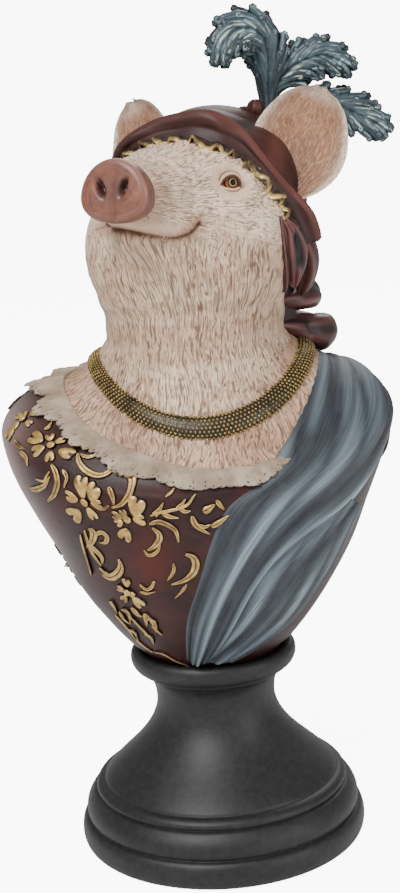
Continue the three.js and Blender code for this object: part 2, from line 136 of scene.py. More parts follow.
# %% Castings
class Casting:
    """Gathers closed shapes in bust millimetres into one piece."""

    def __init__(self, *marks):
        self.points, self.faces, self.flow = [], [], []
        self.marks = {m: [] for m in marks}
        self.size = 0

    def rings(self, rings, flow=None, looped=False, **marks):
        """Adds a stack of closed rings (n, m, 3); looped joins the last ring to the first."""
        n, m = rings.shape[:2]
        across, along = flow if flow is not None else (np.zeros((n, m + 1)),) * 2
        points = rings.reshape(-1, 3)
        i, j = np.meshgrid(np.arange(n if looped else n - 1), np.arange(m), indexing="ij")
        up, k = (i + 1) % n, (j + 1) % m
        quads = np.stack([i * m + j, i * m + k, up * m + k, up * m + j], -1).reshape(-1, 4)
        iu = np.minimum(i + 1, across.shape[0] - 1)
        uv = [np.stack([a[i, j], a[i, j + 1], a[iu, j + 1], a[iu, j]],
                       -1).reshape(-1) for a in (across, along)]
        faces, flows = quads.tolist(), [np.stack(uv, -1)]
        values = {key: np.broadcast_to(marks[key], (n, m)).reshape(-1) for key in self.marks}
        if not looped:
            points = np.concatenate([points, rings[[0, -1]].mean(1)])
            j = np.arange(m)
            k = (j + 1) % m
            faces += np.stack([np.full(m, n * m), k, j], -1).tolist()
            faces += np.stack([np.full(m, n * m + 1), (n - 1) * m + j, (n - 1) * m + k], -1).tolist()
            for row, order in ((0, (j, j + 1, j)), (n - 1, (j, j, j + 1))):
                uv = [np.stack([a[row, o] for o in order], -1).reshape(-1) for a in (across, along)]
                flows.append(np.stack(uv, -1))
            values = {key: np.concatenate([v, [v[:m].mean(), v[-m:].mean()]]) for key, v in values.items()}
        inward = self.volume(points, faces) < 0
        self.faces += [[q + self.size for q in (f[::-1] if inward else f)] for f in faces]
        if inward:
            flat = np.concatenate(flows)
            whole = flat[:4 * len(quads)].reshape(-1, 4, 2)[:, ::-1].reshape(-1, 2)
            rest = flat[4 * len(quads):].reshape(-1, 3, 2)[:, ::-1].reshape(-1, 2)
            flows = [whole, rest]
        self.flow += flows
        self.points.append(points)
        for key, v in values.items():
            self.marks[key].append(v)
        self.size += len(points)

    @staticmethod
    def volume(points, faces):
        tris = np.array([f[:3] for f in faces] + [[f[0], f[2], f[3]] for f in faces if len(f) == 4])
        a, b, c = (points[tris[:, k]] for k in range(3))
        return np.einsum("ij,ij->", a, np.cross(b, c)) / 6

    def piece(self, name, finish, slot="painted_resin"):
        mesh = bpy.data.meshes.new(name)
        points = np.concatenate(self.points)
        mesh.from_pydata(((points + [0, 0, SEAT_Z]) / 1000).tolist(), [], self.faces)
        for key, parts in self.marks.items():
            mark = mesh.attributes.new(key, "FLOAT", "POINT")
            mark.data.foreach_set("value", np.concatenate(parts).astype(np.float32))
        layer = mesh.uv_layers.new(name="flow")
        layer.data.foreach_set("uv", np.concatenate(self.flow).astype(np.float32).reshape(-1))
        mesh.polygons.foreach_set("use_smooth", np.ones(len(mesh.polygons), bool))
        mesh.materials.append(finish)
        return settle(name, mesh, slot)


def seamed(share, size):
    """Flow coordinates in mm from shares 0 to 1, with the first column again at the seam."""
    return np.concatenate([share, share[:, :1]], 1) * size


def wrapped(t, round_it, along_it):
    """Flow coordinates in mm for a roll: round it by column, and along it by t."""
    n, m = t.shape
    return (np.broadcast_to(np.linspace(0, round_it, m + 1), (n, m + 1)),
            np.repeat(t[:, :1] * along_it, m + 1, 1))


# %% [markdown]
# Two shapes come back all over the figurine: a bent slab, for cloth and leaves, and a rounded
# strand, for rolls and locks. Both come as rings, with the shares that their carving reads.

# %% Slabs and strands
def settle(name, mesh, slot):
    """Puts a finished mesh in the scene, riding on the figurine's one body."""
    piece = bpy.data.objects.new(name, mesh)
    bpy.context.scene.collection.objects.link(piece)
    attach(piece, "root")
    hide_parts("plinth" if slot == "plinth" else "pig_bust")
    triangles = sum(len(p.vertices) - 2 for p in mesh.polygons)
    print(f"{name}: {triangles} triangles")
    return piece


def slab(point, along, around):
    """A bent slab. point(u, v, w) gives its place across, along and through, each 0 to 1."""
    turn = 2 * np.pi * np.arange(around) / around
    u = 0.5 + 0.3 * np.cos(turn) + 0.2 * (np.abs(1 - turn / np.pi) * 2 - 1)
    w = 0.5 + 0.5 * np.sign(np.sin(turn)) * np.abs(np.sin(turn)) ** 0.45
    V, U = np.meshgrid(np.linspace(0, 1, along), u, indexing="ij")
    W = np.broadcast_to(w, U.shape)
    return point(U, V, W), U, V, W


def strand(line, wide, thick, face, along, around):
    """A rounded strip along a line, wide across and thick towards face."""
    v = (np.arange(along) + 0.5) / along
    t = (1 - np.cos(np.pi * v)) / 2
    centre = smooth_table(line, t)
    way = unit(smooth_table(line, t + 1e-3) - smooth_table(line, t - 1e-3))
    side = unit(np.cross(way, np.broadcast_to(np.asarray(face, float), way.shape)))
    out = unit(np.cross(side, way))
    end = np.sin(np.pi * v) ** 0.6
    turn = 2 * np.pi * np.arange(around) / around
    a = (smooth_table(wide, t) * end)[:, None] * np.cos(turn)
    b = (smooth_table(thick, t) * end)[:, None] * np.sin(turn)
    rings = centre[:, None] + a[..., None] * side[:, None] + b[..., None] * out[:, None]
    normal = unit(np.cos(turn)[None, :, None] * side[:, None] + np.sin(turn)[None, :, None] * out[:, None])
    return rings, normal, np.broadcast_to(t[:, None], a.shape), np.broadcast_to(turn, a.shape)


test = strand([[0, 0, 0], [0, 0, 5], [0, 0, 9]], [1, 1], [1, 1], [1, 0, 0], 6, 8)[0]
print("a small test strand has", test.shape[0], "rings of", test.shape[1], "points")


# %% [markdown]
# The shoulders and neck are a loft through rows, each a half ellipse in front and another
# behind, and the rows dip in front to make the low neckline. The table repeats the solid's.
# A point is named by a compass angle, with the front at -90 degrees, and a row.

# %% Shoulders and neck
FOOT = SEAT_RADIUS - 0.9
ROWS = [
    [0, FOOT, FOOT, FOOT, 0, 0], [4, FOOT + 0.1, FOOT + 0.1, FOOT + 0.1, 0, 0],
    [9, 30.5, 30, 28.5, 0, 0], [18, 37.5, 36.5, 32, 0, 0], [30, 45.5, 43, 36.5, 0, 0],
    [44, 53, 48.5, 41, 0, 0.5], [58, 59.6, 52, 44.5, 2, -0.4], [72, 65.6, 53.5, 46.5, 6, -0.9],
    [83, 68.5, 53.3, 46.5, 12, -1], [90.5, 68.6, 52.5, 45.5, 17, -1], [97, 64, 51.5, 43.5, 21, -1],
    [102.5, 55.5, 50.2, 41.5, 24, -0.6], [106, 46, 48.2, 39.5, 25, 1.2], [111, 38.7, 43.5, 37, 20, 2.5],
    [118, 31.3, 38.5, 35, 13, 0.8], [126, 30.2, 36, 34, 7, 1.2], [135, 30.5, 34, 34, 3, 1],
]
TOP_ROW = len(ROWS) - 1


def torso(angle, row, out=0.0):
    """A point of the shoulders at a compass angle and row, `out` mm off the surface."""
    def at(a, h):
        z, half, front, back, drop, shift = np.moveaxis(smooth_table(ROWS, h / TOP_ROW), -1, 0)
        s = np.sin(a)
        return np.stack([shift + half * np.cos(a), np.where(s < 0, front, back) * s,
                         z - drop * np.maximum(0, -s) ** 1.6], -1)
    a, row = np.broadcast_arrays(np.radians(np.asarray(angle, float)), np.asarray(row, float))
    around = at(a + 0.01, row) - at(a - 0.01, row)
    rise = at(a, np.minimum(row + 0.1, TOP_ROW)) - at(a, np.maximum(row - 0.1, 0))
    return at(a, row) + unit(np.cross(around, rise)) * np.asarray(out)[..., None]


def spot(pixels):
    """Compass angle and row of the shoulders under pixels of the photograph."""
    angle, row = np.meshgrid(np.arange(-176.0, 0.0), np.arange(0.5, 14.0, 0.1), indexing="ij")
    seen = to_pixel(torso(angle, row))
    found = []
    for pixel in np.atleast_2d(pixels):
        k = np.unravel_index(((seen - pixel) ** 2).sum(-1).argmin(), angle.shape)
        p = np.array([angle[k], row[k]])
        for _ in range(4):
            here = to_pixel(torso(*p))
            slope = np.stack([to_pixel(torso(p[0] + 0.1, p[1])) - here,
                              to_pixel(torso(p[0], p[1] + 0.01)) - here], -1)
            if abs(np.linalg.det(slope / [0.1, 0.01])) < 1.5:
                break
            p = p + np.clip(np.linalg.solve(slope / [0.1, 0.01], pixel - here), [-2, -0.2], [2, 0.2])
        found.append(p)
    return np.array(found)


print("front of the neckline", torso(-90, 12).round(1))

# %% [markdown]
# The head is one smooth union of round forms: skull, jowls, snout, lower jaw and throat. A
# union of distance formulas melts them into each other as a modeller's thumb would. The skin
# is then found by walking in along rays from outside until the distance is nothing.

# %% Head
TURN, LIFT = math.radians(27), math.radians(10)
HEAD = np.array([8, -2, 162.7])
AHEAD = np.array([-math.sin(TURN) * math.cos(LIFT), -math.cos(TURN) * math.cos(LIFT), math.sin(LIFT)])
SIDE = np.array([math.cos(TURN), -math.sin(TURN), 0])
UP = np.cross(AHEAD, SIDE)


def on_head(s, f, u):
    """A point by its distance to the pig's left, forward and up from the head's centre."""
    s, f, u = (np.asarray(v, float)[..., None] for v in np.broadcast_arrays(s, f, u))
    return HEAD + s * SIDE + f * AHEAD + u * UP


def in_head(points):
    d = points - HEAD
    return np.stack([d @ SIDE, d @ AHEAD, d @ UP], -1)


def ball(p, centre, radii):
    d, radii = p - np.array(centre, float), np.array(radii, float)
    k0 = np.linalg.norm(d / radii, axis=-1)
    return k0 * (k0 - 1) / np.maximum(np.linalg.norm(d / radii ** 2, axis=-1), 1e-9)


def taper(p, a, b, ra, rb):
    a, b = np.array(a, float), np.array(b, float)
    t = np.clip((p - a) @ (b - a) / ((b - a) @ (b - a)), 0, 1)
    return np.linalg.norm(p - a - t[..., None] * (b - a), axis=-1) - (ra + (rb - ra) * t)


def melt(a, b, k):
    h = np.maximum(k - np.abs(a - b), 0) / k
    return np.minimum(a, b) - h * h * k / 4


def skin_distance(points):
    q = in_head(points)
    even = q * 1.0
    even[..., 0] = np.abs(q[..., 0])
    slim = q * [0.86, 1, 1]
    face = ball(even, [0, -2, 4], [29, 31, 25])
    face = melt(face, ball(even, [13, 9, -12], [20, 25, 21]), 8)
    face = melt(face, taper(slim, [0, 12, 2], [0, 53, -1], 20, 10), 9)
    face = melt(face, taper(slim, [0, 12, -17], [0, 48, -12], 17, 8), 6)
    throat = taper(points, [1, -1, 112], [1.5, -1, 150], 30.5, 30.5)
    throat = melt(throat, ball(points, [-3.8, -15, 147], [27.5, 22.5, 23]), 14)
    return melt(face, throat, 14)


def meet(origin, way, far):
    """Where rays coming back from afar along `way` first meet the skin, as distances."""
    t = np.full(way.shape[:-1], float(far))
    for _ in range(90):
        d = skin_distance(origin + way * t[..., None])
        t = np.where(d > 0.01, t - np.maximum(d * 0.6, 0.01), t)
    return t


print("top of the skull", on_head(0, -2, 29).round(1))

# %% [markdown]
# The paint is built like the painter's own layers: a base coat, a dark wash that settles in the
# carving, and a light dry brush over what stands proud. These layers are shared shader groups.
# Each finish then sets its own colours, and its gloss sits on the shader's own sockets.

# %% Shader helpers
def put(tree, kind, wires=None, **settings):
    """Adds a node with its settings, its values and its links."""
    node = tree.nodes.new(kind)
    for key, value in settings.items():
        setattr(node, key, value)
    for socket, value in (wires or {}).items():
        if isinstance(value, bpy.types.NodeSocket):
            tree.links.new(value, node.inputs[socket])
        else:
            node.inputs[socket].default_value = value
    return node


def group(name, inputs, outputs):
    """An empty shader group with named sockets."""
    tree = bpy.data.node_groups.new(name, "ShaderNodeTree")
    for label, kind, value in inputs:
        socket = tree.interface.new_socket(label, in_out="INPUT", socket_type=kind)
        if value is not None:
            socket.default_value = value
    for label, kind in outputs:
        tree.interface.new_socket(label, in_out="OUTPUT", socket_type=kind)
    return tree, put(tree, "NodeGroupInput"), put(tree, "NodeGroupOutput")


def sum_up(tree, operation, a, b=0.0, clamp=False):
    return put(tree, "ShaderNodeMath", {0: a, 1: b}, operation=operation, use_clamp=clamp).outputs[0]


def tint(tree, share, a, b):
    """Mixes colour a towards colour b by a share."""
    node = put(tree, "ShaderNodeMix", data_type="RGBA")
    for socket, value in ((0, share), (6, a), (7, b)):
        if isinstance(value, bpy.types.NodeSocket):
            tree.links.new(value, node.inputs[socket])
        else:
            node.inputs[socket].default_value = (
                (*value, 1) if isinstance(value, tuple) and len(value) == 3 else value)
    return node.outputs[2]


def ramp(tree, value, low, high):
    return put(tree, "ShaderNodeMapRange", {"Value": value, "From Min": low, "From Max": high},
               interpolation_type="SMOOTHSTEP").outputs[0]


NUMBER, FLOW = "NodeSocketFloat", "NodeSocketVector"

# Brush marks: fine streaks along the flow of the piece, 0 to 1.
streaks, a, b = group("brush_streaks", [("Flow", FLOW, None), ("Across", NUMBER, 1.0),
                                        ("Along", NUMBER, 0.1), ("Soft", NUMBER, 0.5)],
                      [("Streak", NUMBER)])
scale = put(streaks, "ShaderNodeCombineXYZ", {0: a.outputs["Across"], 1: a.outputs["Along"],
                                              2: 1.0}).outputs[0]
vector = put(streaks, "ShaderNodeVectorMath", {0: a.outputs["Flow"], 1: scale},
             operation="MULTIPLY").outputs[0]
bristle = put(streaks, "ShaderNodeTexNoise", {"Vector": vector, "Scale": 1.0, "Detail": 4.0,
                                              "Roughness": 0.65},
              noise_dimensions="2D").outputs[0]
low = sum_up(streaks, "SUBTRACT", 0.5, sum_up(streaks, "MULTIPLY", a.outputs["Soft"], 0.25))
high = sum_up(streaks, "ADD", 0.5, sum_up(streaks, "MULTIPLY", a.outputs["Soft"], 0.25))
streaks.links.new(ramp(streaks, bristle, low, high), b.inputs["Streak"])

# Hair cut into the clay: thin wavy cuts along the flow that start and stop, 1 inside a cut.
hair, a, b = group("carved_hair", [("Flow", FLOW, None), ("Across", NUMBER, 0.5), ("Along", NUMBER, 0.1),
                                   ("Width", NUMBER, 0.06)],
                   [("Groove", NUMBER)])
wander = put(hair, "ShaderNodeTexNoise", {"Vector": a.outputs["Flow"], "Scale": 0.07, "Detail": 1.0},
             noise_dimensions="2D").outputs["Color"]
wander = put(hair, "ShaderNodeVectorMath", {0: wander, 1: (0.5, 0.5, 0.5)}, operation="SUBTRACT").outputs[0]
wander = put(hair, "ShaderNodeVectorMath", {0: wander, 1: (3.2, 2.0, 0.0)}, operation="MULTIPLY").outputs[0]
flow = put(hair, "ShaderNodeVectorMath", {0: a.outputs["Flow"], 1: wander}, operation="ADD").outputs[0]
scale = put(hair, "ShaderNodeCombineXYZ", {0: a.outputs["Across"], 1: a.outputs["Along"], 2: 1.0}).outputs[0]
lines = put(hair, "ShaderNodeVectorMath", {0: flow, 1: scale}, operation="MULTIPLY").outputs[0]
cuts = None
for shift, share in (((0, 0, 0), 1.0), ((31.7, 12.3, 0), 0.8)):
    moved = put(hair, "ShaderNodeVectorMath", {0: lines, 1: shift}, operation="ADD").outputs[0]
    level = put(hair, "ShaderNodeTexNoise", {"Vector": moved, "Scale": 1.0, "Detail": 1.0, "Roughness": 0.5},
                noise_dimensions="2D").outputs[0]
    off_line = sum_up(hair, "ABSOLUTE", sum_up(hair, "SUBTRACT", level, 0.5))
    line = sum_up(hair, "SUBTRACT", 1.0, ramp(hair, off_line, sum_up(hair, "MULTIPLY", a.outputs["Width"],
                                                                     0.4),
                                              a.outputs["Width"]))
    breaks = put(hair, "ShaderNodeVectorMath", {0: moved, 1: (1.7, 2.6, 1.0)},
                 operation="MULTIPLY").outputs[0]
    breaks = put(hair, "ShaderNodeTexNoise", {"Vector": breaks, "Scale": 1.0, "Detail": 0.0},
                 noise_dimensions="2D").outputs[0]
    line = sum_up(hair, "MULTIPLY", line, sum_up(hair, "MULTIPLY", ramp(hair, breaks, 0.36, 0.5), share))
    cuts = line if cuts is None else sum_up(hair, "MAXIMUM", cuts, line)
hair.links.new(cuts, b.inputs["Groove"])

# Mottling of a hand-laid coat, 0 to 1, from place on the piece.
mottle, a, b = group("mottle", [("Size", NUMBER, 8.0), ("Detail", NUMBER, 3.0), ("Sharp", NUMBER, 0.5)],
                     [("Mottle", NUMBER)])
place = put(mottle, "ShaderNodeTexCoord").outputs["Object"]
cloud = put(mottle, "ShaderNodeTexNoise", {"Vector": place, "Scale": sum_up(mottle, "DIVIDE", 1000.0,
                                                                            a.outputs["Size"]),
                                           "Detail": a.outputs["Detail"], "Roughness": 0.6}).outputs[0]
spread = sum_up(mottle, "SUBTRACT", 0.3, sum_up(mottle, "MULTIPLY", a.outputs["Sharp"], 0.2))
mottle.links.new(ramp(mottle, cloud, sum_up(mottle, "SUBTRACT", 0.5, spread), sum_up(mottle, "ADD", 0.5,
                                                                                     spread)),
                 b.inputs["Mottle"])


def use(tree, made, **values):
    """Places a shared group in a finish."""
    node = put(tree, "ShaderNodeGroup", node_tree=made)
    for key, value in values.items():
        if isinstance(value, bpy.types.NodeSocket):
            tree.links.new(value, node.inputs[key])
        else:
            node.inputs[key].default_value = value
    return node.outputs[0]


def mark(tree, name):
    return put(tree, "ShaderNodeAttribute", attribute_name=name).outputs["Fac"]


def coat(name, roughness=0.6, gloss=0.0, specular=0.4):
    """A finish with its Principled shader; constants stay on the shader itself."""
    finish = bpy.data.materials.new(name)
    finish.use_nodes = True
    tree = finish.node_tree
    shader = tree.nodes["Principled BSDF"]
    shader.inputs["Roughness"].default_value = roughness
    shader.inputs["Coat Weight"].default_value = gloss
    shader.inputs["Coat Roughness"].default_value = 0.25
    shader.inputs["Specular IOR Level"].default_value = specular
    return finish, tree, shader


def relief(tree, shader, height, strength, depth_mm):
    bump = put(tree, "ShaderNodeBump", {"Height": height, "Strength": strength, "Distance": depth_mm / 1000})
    tree.links.new(bump.outputs[0], shader.inputs["Normal"])


print("shared layers:", ", ".join(made.name for made in (streaks, hair, mottle)))


# %% [markdown]
# Skin: a cream coat over carved hair. The painter left a brown-pink wash in the cuts and on the
# chin, the corners of the mouth and the throat. The hair flows back from the snout over the
# face, and down the neck, so the piece carries a flow map for each and a mark that says which.

# %% Skin finish
skin_paint, t, shader = coat("skin_paint", 0.62, 0.0, 0.35)
face_flow = put(t, "ShaderNodeUVMap", uv_map="flow").outputs[0]
neck_flow = put(t, "ShaderNodeAttribute", attribute_name="neck_flow").outputs["Vector"]
grooves = []
for flow_map, across, along, small in ((face_flow, 0.80, 0.115, 0.4), (neck_flow, 0.76, 0.085, 0.5)):
    long_cuts = use(t, hair, Flow=flow_map, Across=across, Along=along, Width=0.055)
    fine_cuts = use(t, hair, Flow=flow_map, Across=across * 1.9, Along=along * 1.8, Width=0.05)
    grooves.append(sum_up(t, "MAXIMUM", long_cuts, sum_up(t, "MULTIPLY", fine_cuts, small)))
share = mark(t, "neck")
cut = put(t, "ShaderNodeMix", {0: share, 2: grooves[0], 3: grooves[1]}, data_type="FLOAT").outputs[0]
warm = use(t, mottle, Size=11.0, Detail=3.0, Sharp=0.6)
cloudy = use(t, mottle, Size=3.0, Detail=4.0, Sharp=0.4)
base = tint(t, share, tint(t, warm, (0.95, 0.75, 0.55), (0.86, 0.59, 0.40)),
            tint(t, warm, (0.80, 0.58, 0.40), (0.64, 0.40, 0.25)))
base = tint(t, sum_up(t, "MULTIPLY", cloudy, 0.35), base, (0.93, 0.80, 0.65))
base = tint(t, mark(t, "blush"), base, (0.48, 0.27, 0.17))
wash = tint(t, warm, (0.15, 0.075, 0.04), (0.10, 0.043, 0.025))
base = tint(t, sum_up(t, "MULTIPLY", sum_up(t, "MULTIPLY", cut, 0.85),
                      sum_up(t, "SUBTRACT", 1.0, mark(t, "smooth"))), base, wash)
base = tint(t, mark(t, "dark"), base, (0.07, 0.028, 0.015))
t.links.new(base, shader.inputs["Base Color"])
hairy = sum_up(t, "MULTIPLY", cut, sum_up(t, "SUBTRACT", 1.0, mark(t, "smooth")))
relief(t, shader, sum_up(t, "SUBTRACT", 1.0, hairy), 0.7, 0.45)
print("skin paint:", len(t.nodes), "nodes")

# %% [markdown]
# The head and the bare neck and chest are one skin. Rays go out from inside the snout's root in
# rings about its axis: the face takes most of the rings, so that it gets most of the detail.
# Where the shoulders' loft lies further out than the head's forms, the skin follows the loft.

# %% Head, neck and chest
RINGS, TURNS = 216, 300
heart = on_head(0, 12, -6)
tilt = np.pi * (0.004 + 0.992 * np.linspace(0, 1, RINGS) ** 1.25)
azimuth = 2 * np.pi * np.arange(TURNS) / TURNS
T, A = np.meshgrid(tilt, azimuth, indexing="ij")
way = (np.cos(T)[..., None] * AHEAD + (np.sin(T) * np.cos(A))[..., None] * SIDE
       + (np.sin(T) * np.sin(A))[..., None] * UP)
head_reach = meet(heart, way, 90)

loft_angle, loft_row = np.meshgrid(np.arange(0, 360, 2.0), np.linspace(11.2, TOP_ROW, 70))
loft = torso(loft_angle, loft_row)
corners = np.arange(loft.size // 3).reshape(loft.shape[:2])
loft_faces = np.stack([corners[:-1], np.roll(corners, -1, 1)[:-1], np.roll(corners, -1, 1)[1:],
                       corners[1:]], -1)
floor_faces = [[int(a), int(b), loft.size // 3] for a, b in zip(corners[0], np.roll(corners[0], -1))]
tree = BVHTree.FromPolygons(loft.reshape(-1, 3).tolist() + [[0, 0, 84]],
                            loft_faces.reshape(-1, 4).tolist() + floor_faces)
start = Vector(heart)
loft_reach = np.zeros(T.shape)
for i, j in np.argwhere(way @ [0, 0, 1] < 0.2):
    hit = tree.ray_cast(start, Vector(way[i, j]))
    loft_reach[i, j] = hit[3] if hit[0] is not None else 0
reach = -melt(-head_reach, -loft_reach, 6.0)
skin = heart + way * reach[..., None]

print("skin, before carving:", np.ptp(skin.reshape(-1, 3), axis=0).round(1), "mm")

# %% [markdown]
# The mouth is a narrow cut with a soft lip over it, and the eyes sit in shallow sockets. Both
# are pushed in or out of the skin along its rays, and so are the wrinkles and rolls of flesh.

# %% Mouth, sockets and wrinkles
mouth_line = np.array([[-20, -7.6], [-18, -8.6], [-16, -9.5], [-11, -10.6], [-5, -11.7], [0, -12.6],
                       [5, -13.7], [9.5, -14.4], [12, -13.5], [14.2, -11.8], [15.8, -9]])
mouth_line = smooth_table(mouth_line, np.linspace(0, 1, 90))
mouth = on_head(mouth_line[:, 0], 0, mouth_line[:, 1])
mouth = mouth + AHEAD * meet(mouth, np.broadcast_to(AHEAD, mouth.shape), 75)[:, None]
gaze = {hand: unit(0.72 * hand * SIDE + 0.69 * AHEAD + 0.05 * UP) for hand in (1, -1)}
eyes = {}
for hand in (1, -1):
    seat = on_head(3 * hand, 9.5, 3.5)
    eyes[hand] = seat + gaze[hand] * meet(seat, gaze[hand][None], 60)[0]

near = np.min([np.linalg.norm(skin - p, axis=-1) for p in mouth], axis=0)
local = in_head(skin)
below = local[..., 2] - np.interp(local[..., 0], [-20, -11, 0, 9.5, 14.2, 15.8],
                                  [-7.6, -10.6, -12.6, -14.4, -11.8, -9])
outward = unit(way)
sink = 1.5 * np.exp(-(near / 0.75) ** 2)
lip = (0.7 * np.exp(-((near - 2.4) / 1.3) ** 2) * (below > 0)
       + 0.5 * np.exp(-((near - 2.6) / 1.6) ** 2) * (below < 0))
push = lip - sink
corner = [np.linalg.norm(skin - mouth[k], axis=-1) for k in (0, -1)]
push += (0.9 * sum(np.exp(-((c - 4) / 2.2) ** 2) for c in corner) * 0.6
         - 0.5 * sum(np.exp(-(c / 2) ** 2) for c in corner))
for hand in (1, -1):
    d = skin - eyes[hand]
    off = np.hypot(d @ UP, 0.75 * (d @ unit(np.cross(gaze[hand], UP))))
    push += 1.1 * np.exp(-((off - 6.2) / 2.2) ** 2) - 1.2 * np.exp(-(off / 3.4) ** 2)
    brow = np.exp(-((d @ UP - 8) / 3) ** 2 - ((d @ unit(np.cross(gaze[hand], UP))) / 9) ** 2)
    push += 0.9 * brow
# Soft wrinkles over the snout and rolls of flesh round the throat.
push += 0.28 * np.sin(local[..., 1] * 1.35) * step(30, 40, local[..., 1]) * step(-4, 4, local[..., 2])
low_neck = step(150, 128, skin[..., 2])
push += 0.35 * np.sin(skin[..., 2] * 0.62 + 0.8 * np.sin(A * 2)) * low_neck * step(95, 110, skin[..., 2])
ridge = np.sin(A * 46 + 3 * np.sin(T * 14) + 1.6 * np.sin(T * 31 + A * 5))
push += 0.1 * ridge * step(0.25, 0.5, T)
skin = skin + outward * push[..., None]

print("carving reaches", push.min().round(2), "to", push.max().round(2), "mm")

# %% [markdown]
# The paint follows marks on the skin: brown-pink blush at the mouth, chin, throat and chest, a
# dark line in the mouth, and smooth places with no hair at the lips, the snout and the eyes.

# %% Marks for the skin's paint
neck_share = step(-6, -19, local[..., 2] + 0.22 * (local[..., 1] - 20) * (local[..., 1] < 20)
                  + 2.5 * np.sin(A * 9 + T * 7) + 1.5 * np.sin(A * 23))
blush = 0.75 * np.exp(-((near - 1.2) / 2.2) ** 2)
blush = np.maximum(blush, 0.55 * np.exp(-((local[..., 1] - 56) / 6) ** 2))
chin = np.exp(-((skin[..., 2] - 146) / 7) ** 2) * step(-8, -32, skin[..., 1])
blush = np.maximum(blush, 0.42 * chin * (0.6 + 0.4 * np.sin(A * 13)))
blush = np.maximum(blush, 0.45 * np.exp(-((skin[..., 2] - 122 - 2 * np.sin(A * 5)) / 7) ** 2))
blush = np.maximum(blush, 0.5 * step(44, 50, np.hypot(skin[..., 0], skin[..., 1] + 5))
                   * step(112, 104, skin[..., 2]) * 0.5)
for hand in (1, -1):
    blush = np.maximum(blush, 0.7 * np.exp(-(np.linalg.norm(skin - eyes[hand], axis=-1) / 6) ** 2))
dark = np.clip(np.exp(-(near / 0.62) ** 2), 0, 1) * 0.95

smooth = 0.9 * np.exp(-((near - 2.2) / 2.6) ** 2) * (below > -0.3) * step(40, 46, local[..., 1])
smooth = np.maximum(smooth, 0.9 * step(56, 60, local[..., 1]))
for hand in (1, -1):
    smooth = np.maximum(smooth, 0.9 * step(8.5, 6.0, np.linalg.norm(skin - eyes[hand], axis=-1)))
blush = np.maximum(blush, 0.5 * smooth)
face = Casting("neck", "blush", "dark", "smooth")
wide = np.append(azimuth, 2 * np.pi)[None, :] - np.pi / 2
length = np.cumsum(np.r_[0, np.linalg.norm(np.diff(skin[:, ::TURNS // 12], axis=0), axis=-1).mean(1)])
face.rings(skin, flow=(np.broadcast_to(wide * 27, (RINGS, TURNS + 1)),
                       np.broadcast_to(length[:, None], (RINGS, TURNS + 1))),
           neck=neck_share, blush=blush, dark=dark, smooth=smooth)
head_piece = face.piece("skin", skin_paint)


def comb_down(piece, points):
    """Stores the flow of the neck's hair: round the neck, and down and outwards."""
    around = np.arctan2(points[:, 1], points[:, 0] - 1.2)
    around = np.where(around > np.pi / 2, around - 2 * np.pi, around)
    down = points[:, 2] * 1.1 - 0.6 * np.hypot(points[:, 0], points[:, 1])
    flow = np.stack([around * 36, down, 0 * down], -1)
    made = piece.data.attributes.new("neck_flow", "FLOAT_VECTOR", "POINT")
    made.data.foreach_set("vector", flow.astype(np.float32).reshape(-1))


comb_down(head_piece, np.concatenate(face.points))

# %% [markdown]
# The bare shoulders spread flatter than the rays can reach, so they are a piece of the loft, from
# under the lace to where the neck's skin takes over beneath the necklace.

# %% Bare shoulders
shoulder_angle, share = np.meshgrid(np.arange(-180, 180, 0.9), np.linspace(0, 1, 64), indexing="xy")
hem_row = np.interp(shoulder_angle, [-180, -130, -112, -83, -74, -62, -45, 180],
                    [11.2, 11.1, 10.3, 9.5, 9.1, 10.2, 11.2, 11.2]) - 0.2
shoulder_row = hem_row + (14.1 - hem_row) * share
grain = 0.12 * np.sin(np.radians(shoulder_angle) * 75 + 2 * np.sin(share * 9))
crease = 0.25 * np.sin(share * 16 + 0.6 * np.sin(np.radians(shoulder_angle) * 7)) * np.sin(np.pi * share)
plump = torso(shoulder_angle, shoulder_row, grain + crease - 1.2 * step(0.86, 1, share))
shoulders = Casting("neck", "blush", "dark", "smooth")
rosy = 0.25 + 0.2 * np.sin(np.radians(shoulder_angle) * 6 + 4 * share)
shoulders.rings(plump, neck=1.0, blush=np.clip(rosy + 0.4, 0, 0.85), dark=0.0, smooth=0.0)
comb_down(shoulders.piece("bare_shoulders", skin_paint), np.concatenate(shoulders.points))

# %% [markdown]
# The snout's end is a smooth satin disc like a rounded heart, wider below, with two nostrils and
# a shallow groove between them. It is a dish of rings, pushed in where the nostrils are.

# %% Snout disc
snout_paint, t, shader = coat("snout_paint", 0.38, 0.1, 0.4)
hole = mark(t, "hole")
veil = use(t, mottle, Size=6.0, Detail=3.0, Sharp=0.6)
strokes = use(t, streaks, Flow=put(t, "ShaderNodeUVMap", uv_map="flow").outputs[0], Across=0.16, Along=1.3,
              Soft=0.5)
base = tint(t, veil, (0.11, 0.046, 0.036), (0.17, 0.072, 0.053))
# Painted highlight: a lighter ring on the disc's rounded edge, strongest along the top.
base = tint(t, mark(t, "rim"), base, (0.30, 0.15, 0.11))
base = tint(t, sum_up(t, "MULTIPLY", sum_up(t, "MULTIPLY", strokes, mark(t, "brushed")), 0.55), base,
            (0.29, 0.10, 0.05))
base = tint(t, hole, base, (0.035, 0.014, 0.011))
t.links.new(base, shader.inputs["Base Color"])
relief(t, shader, veil, 0.12, 0.3)

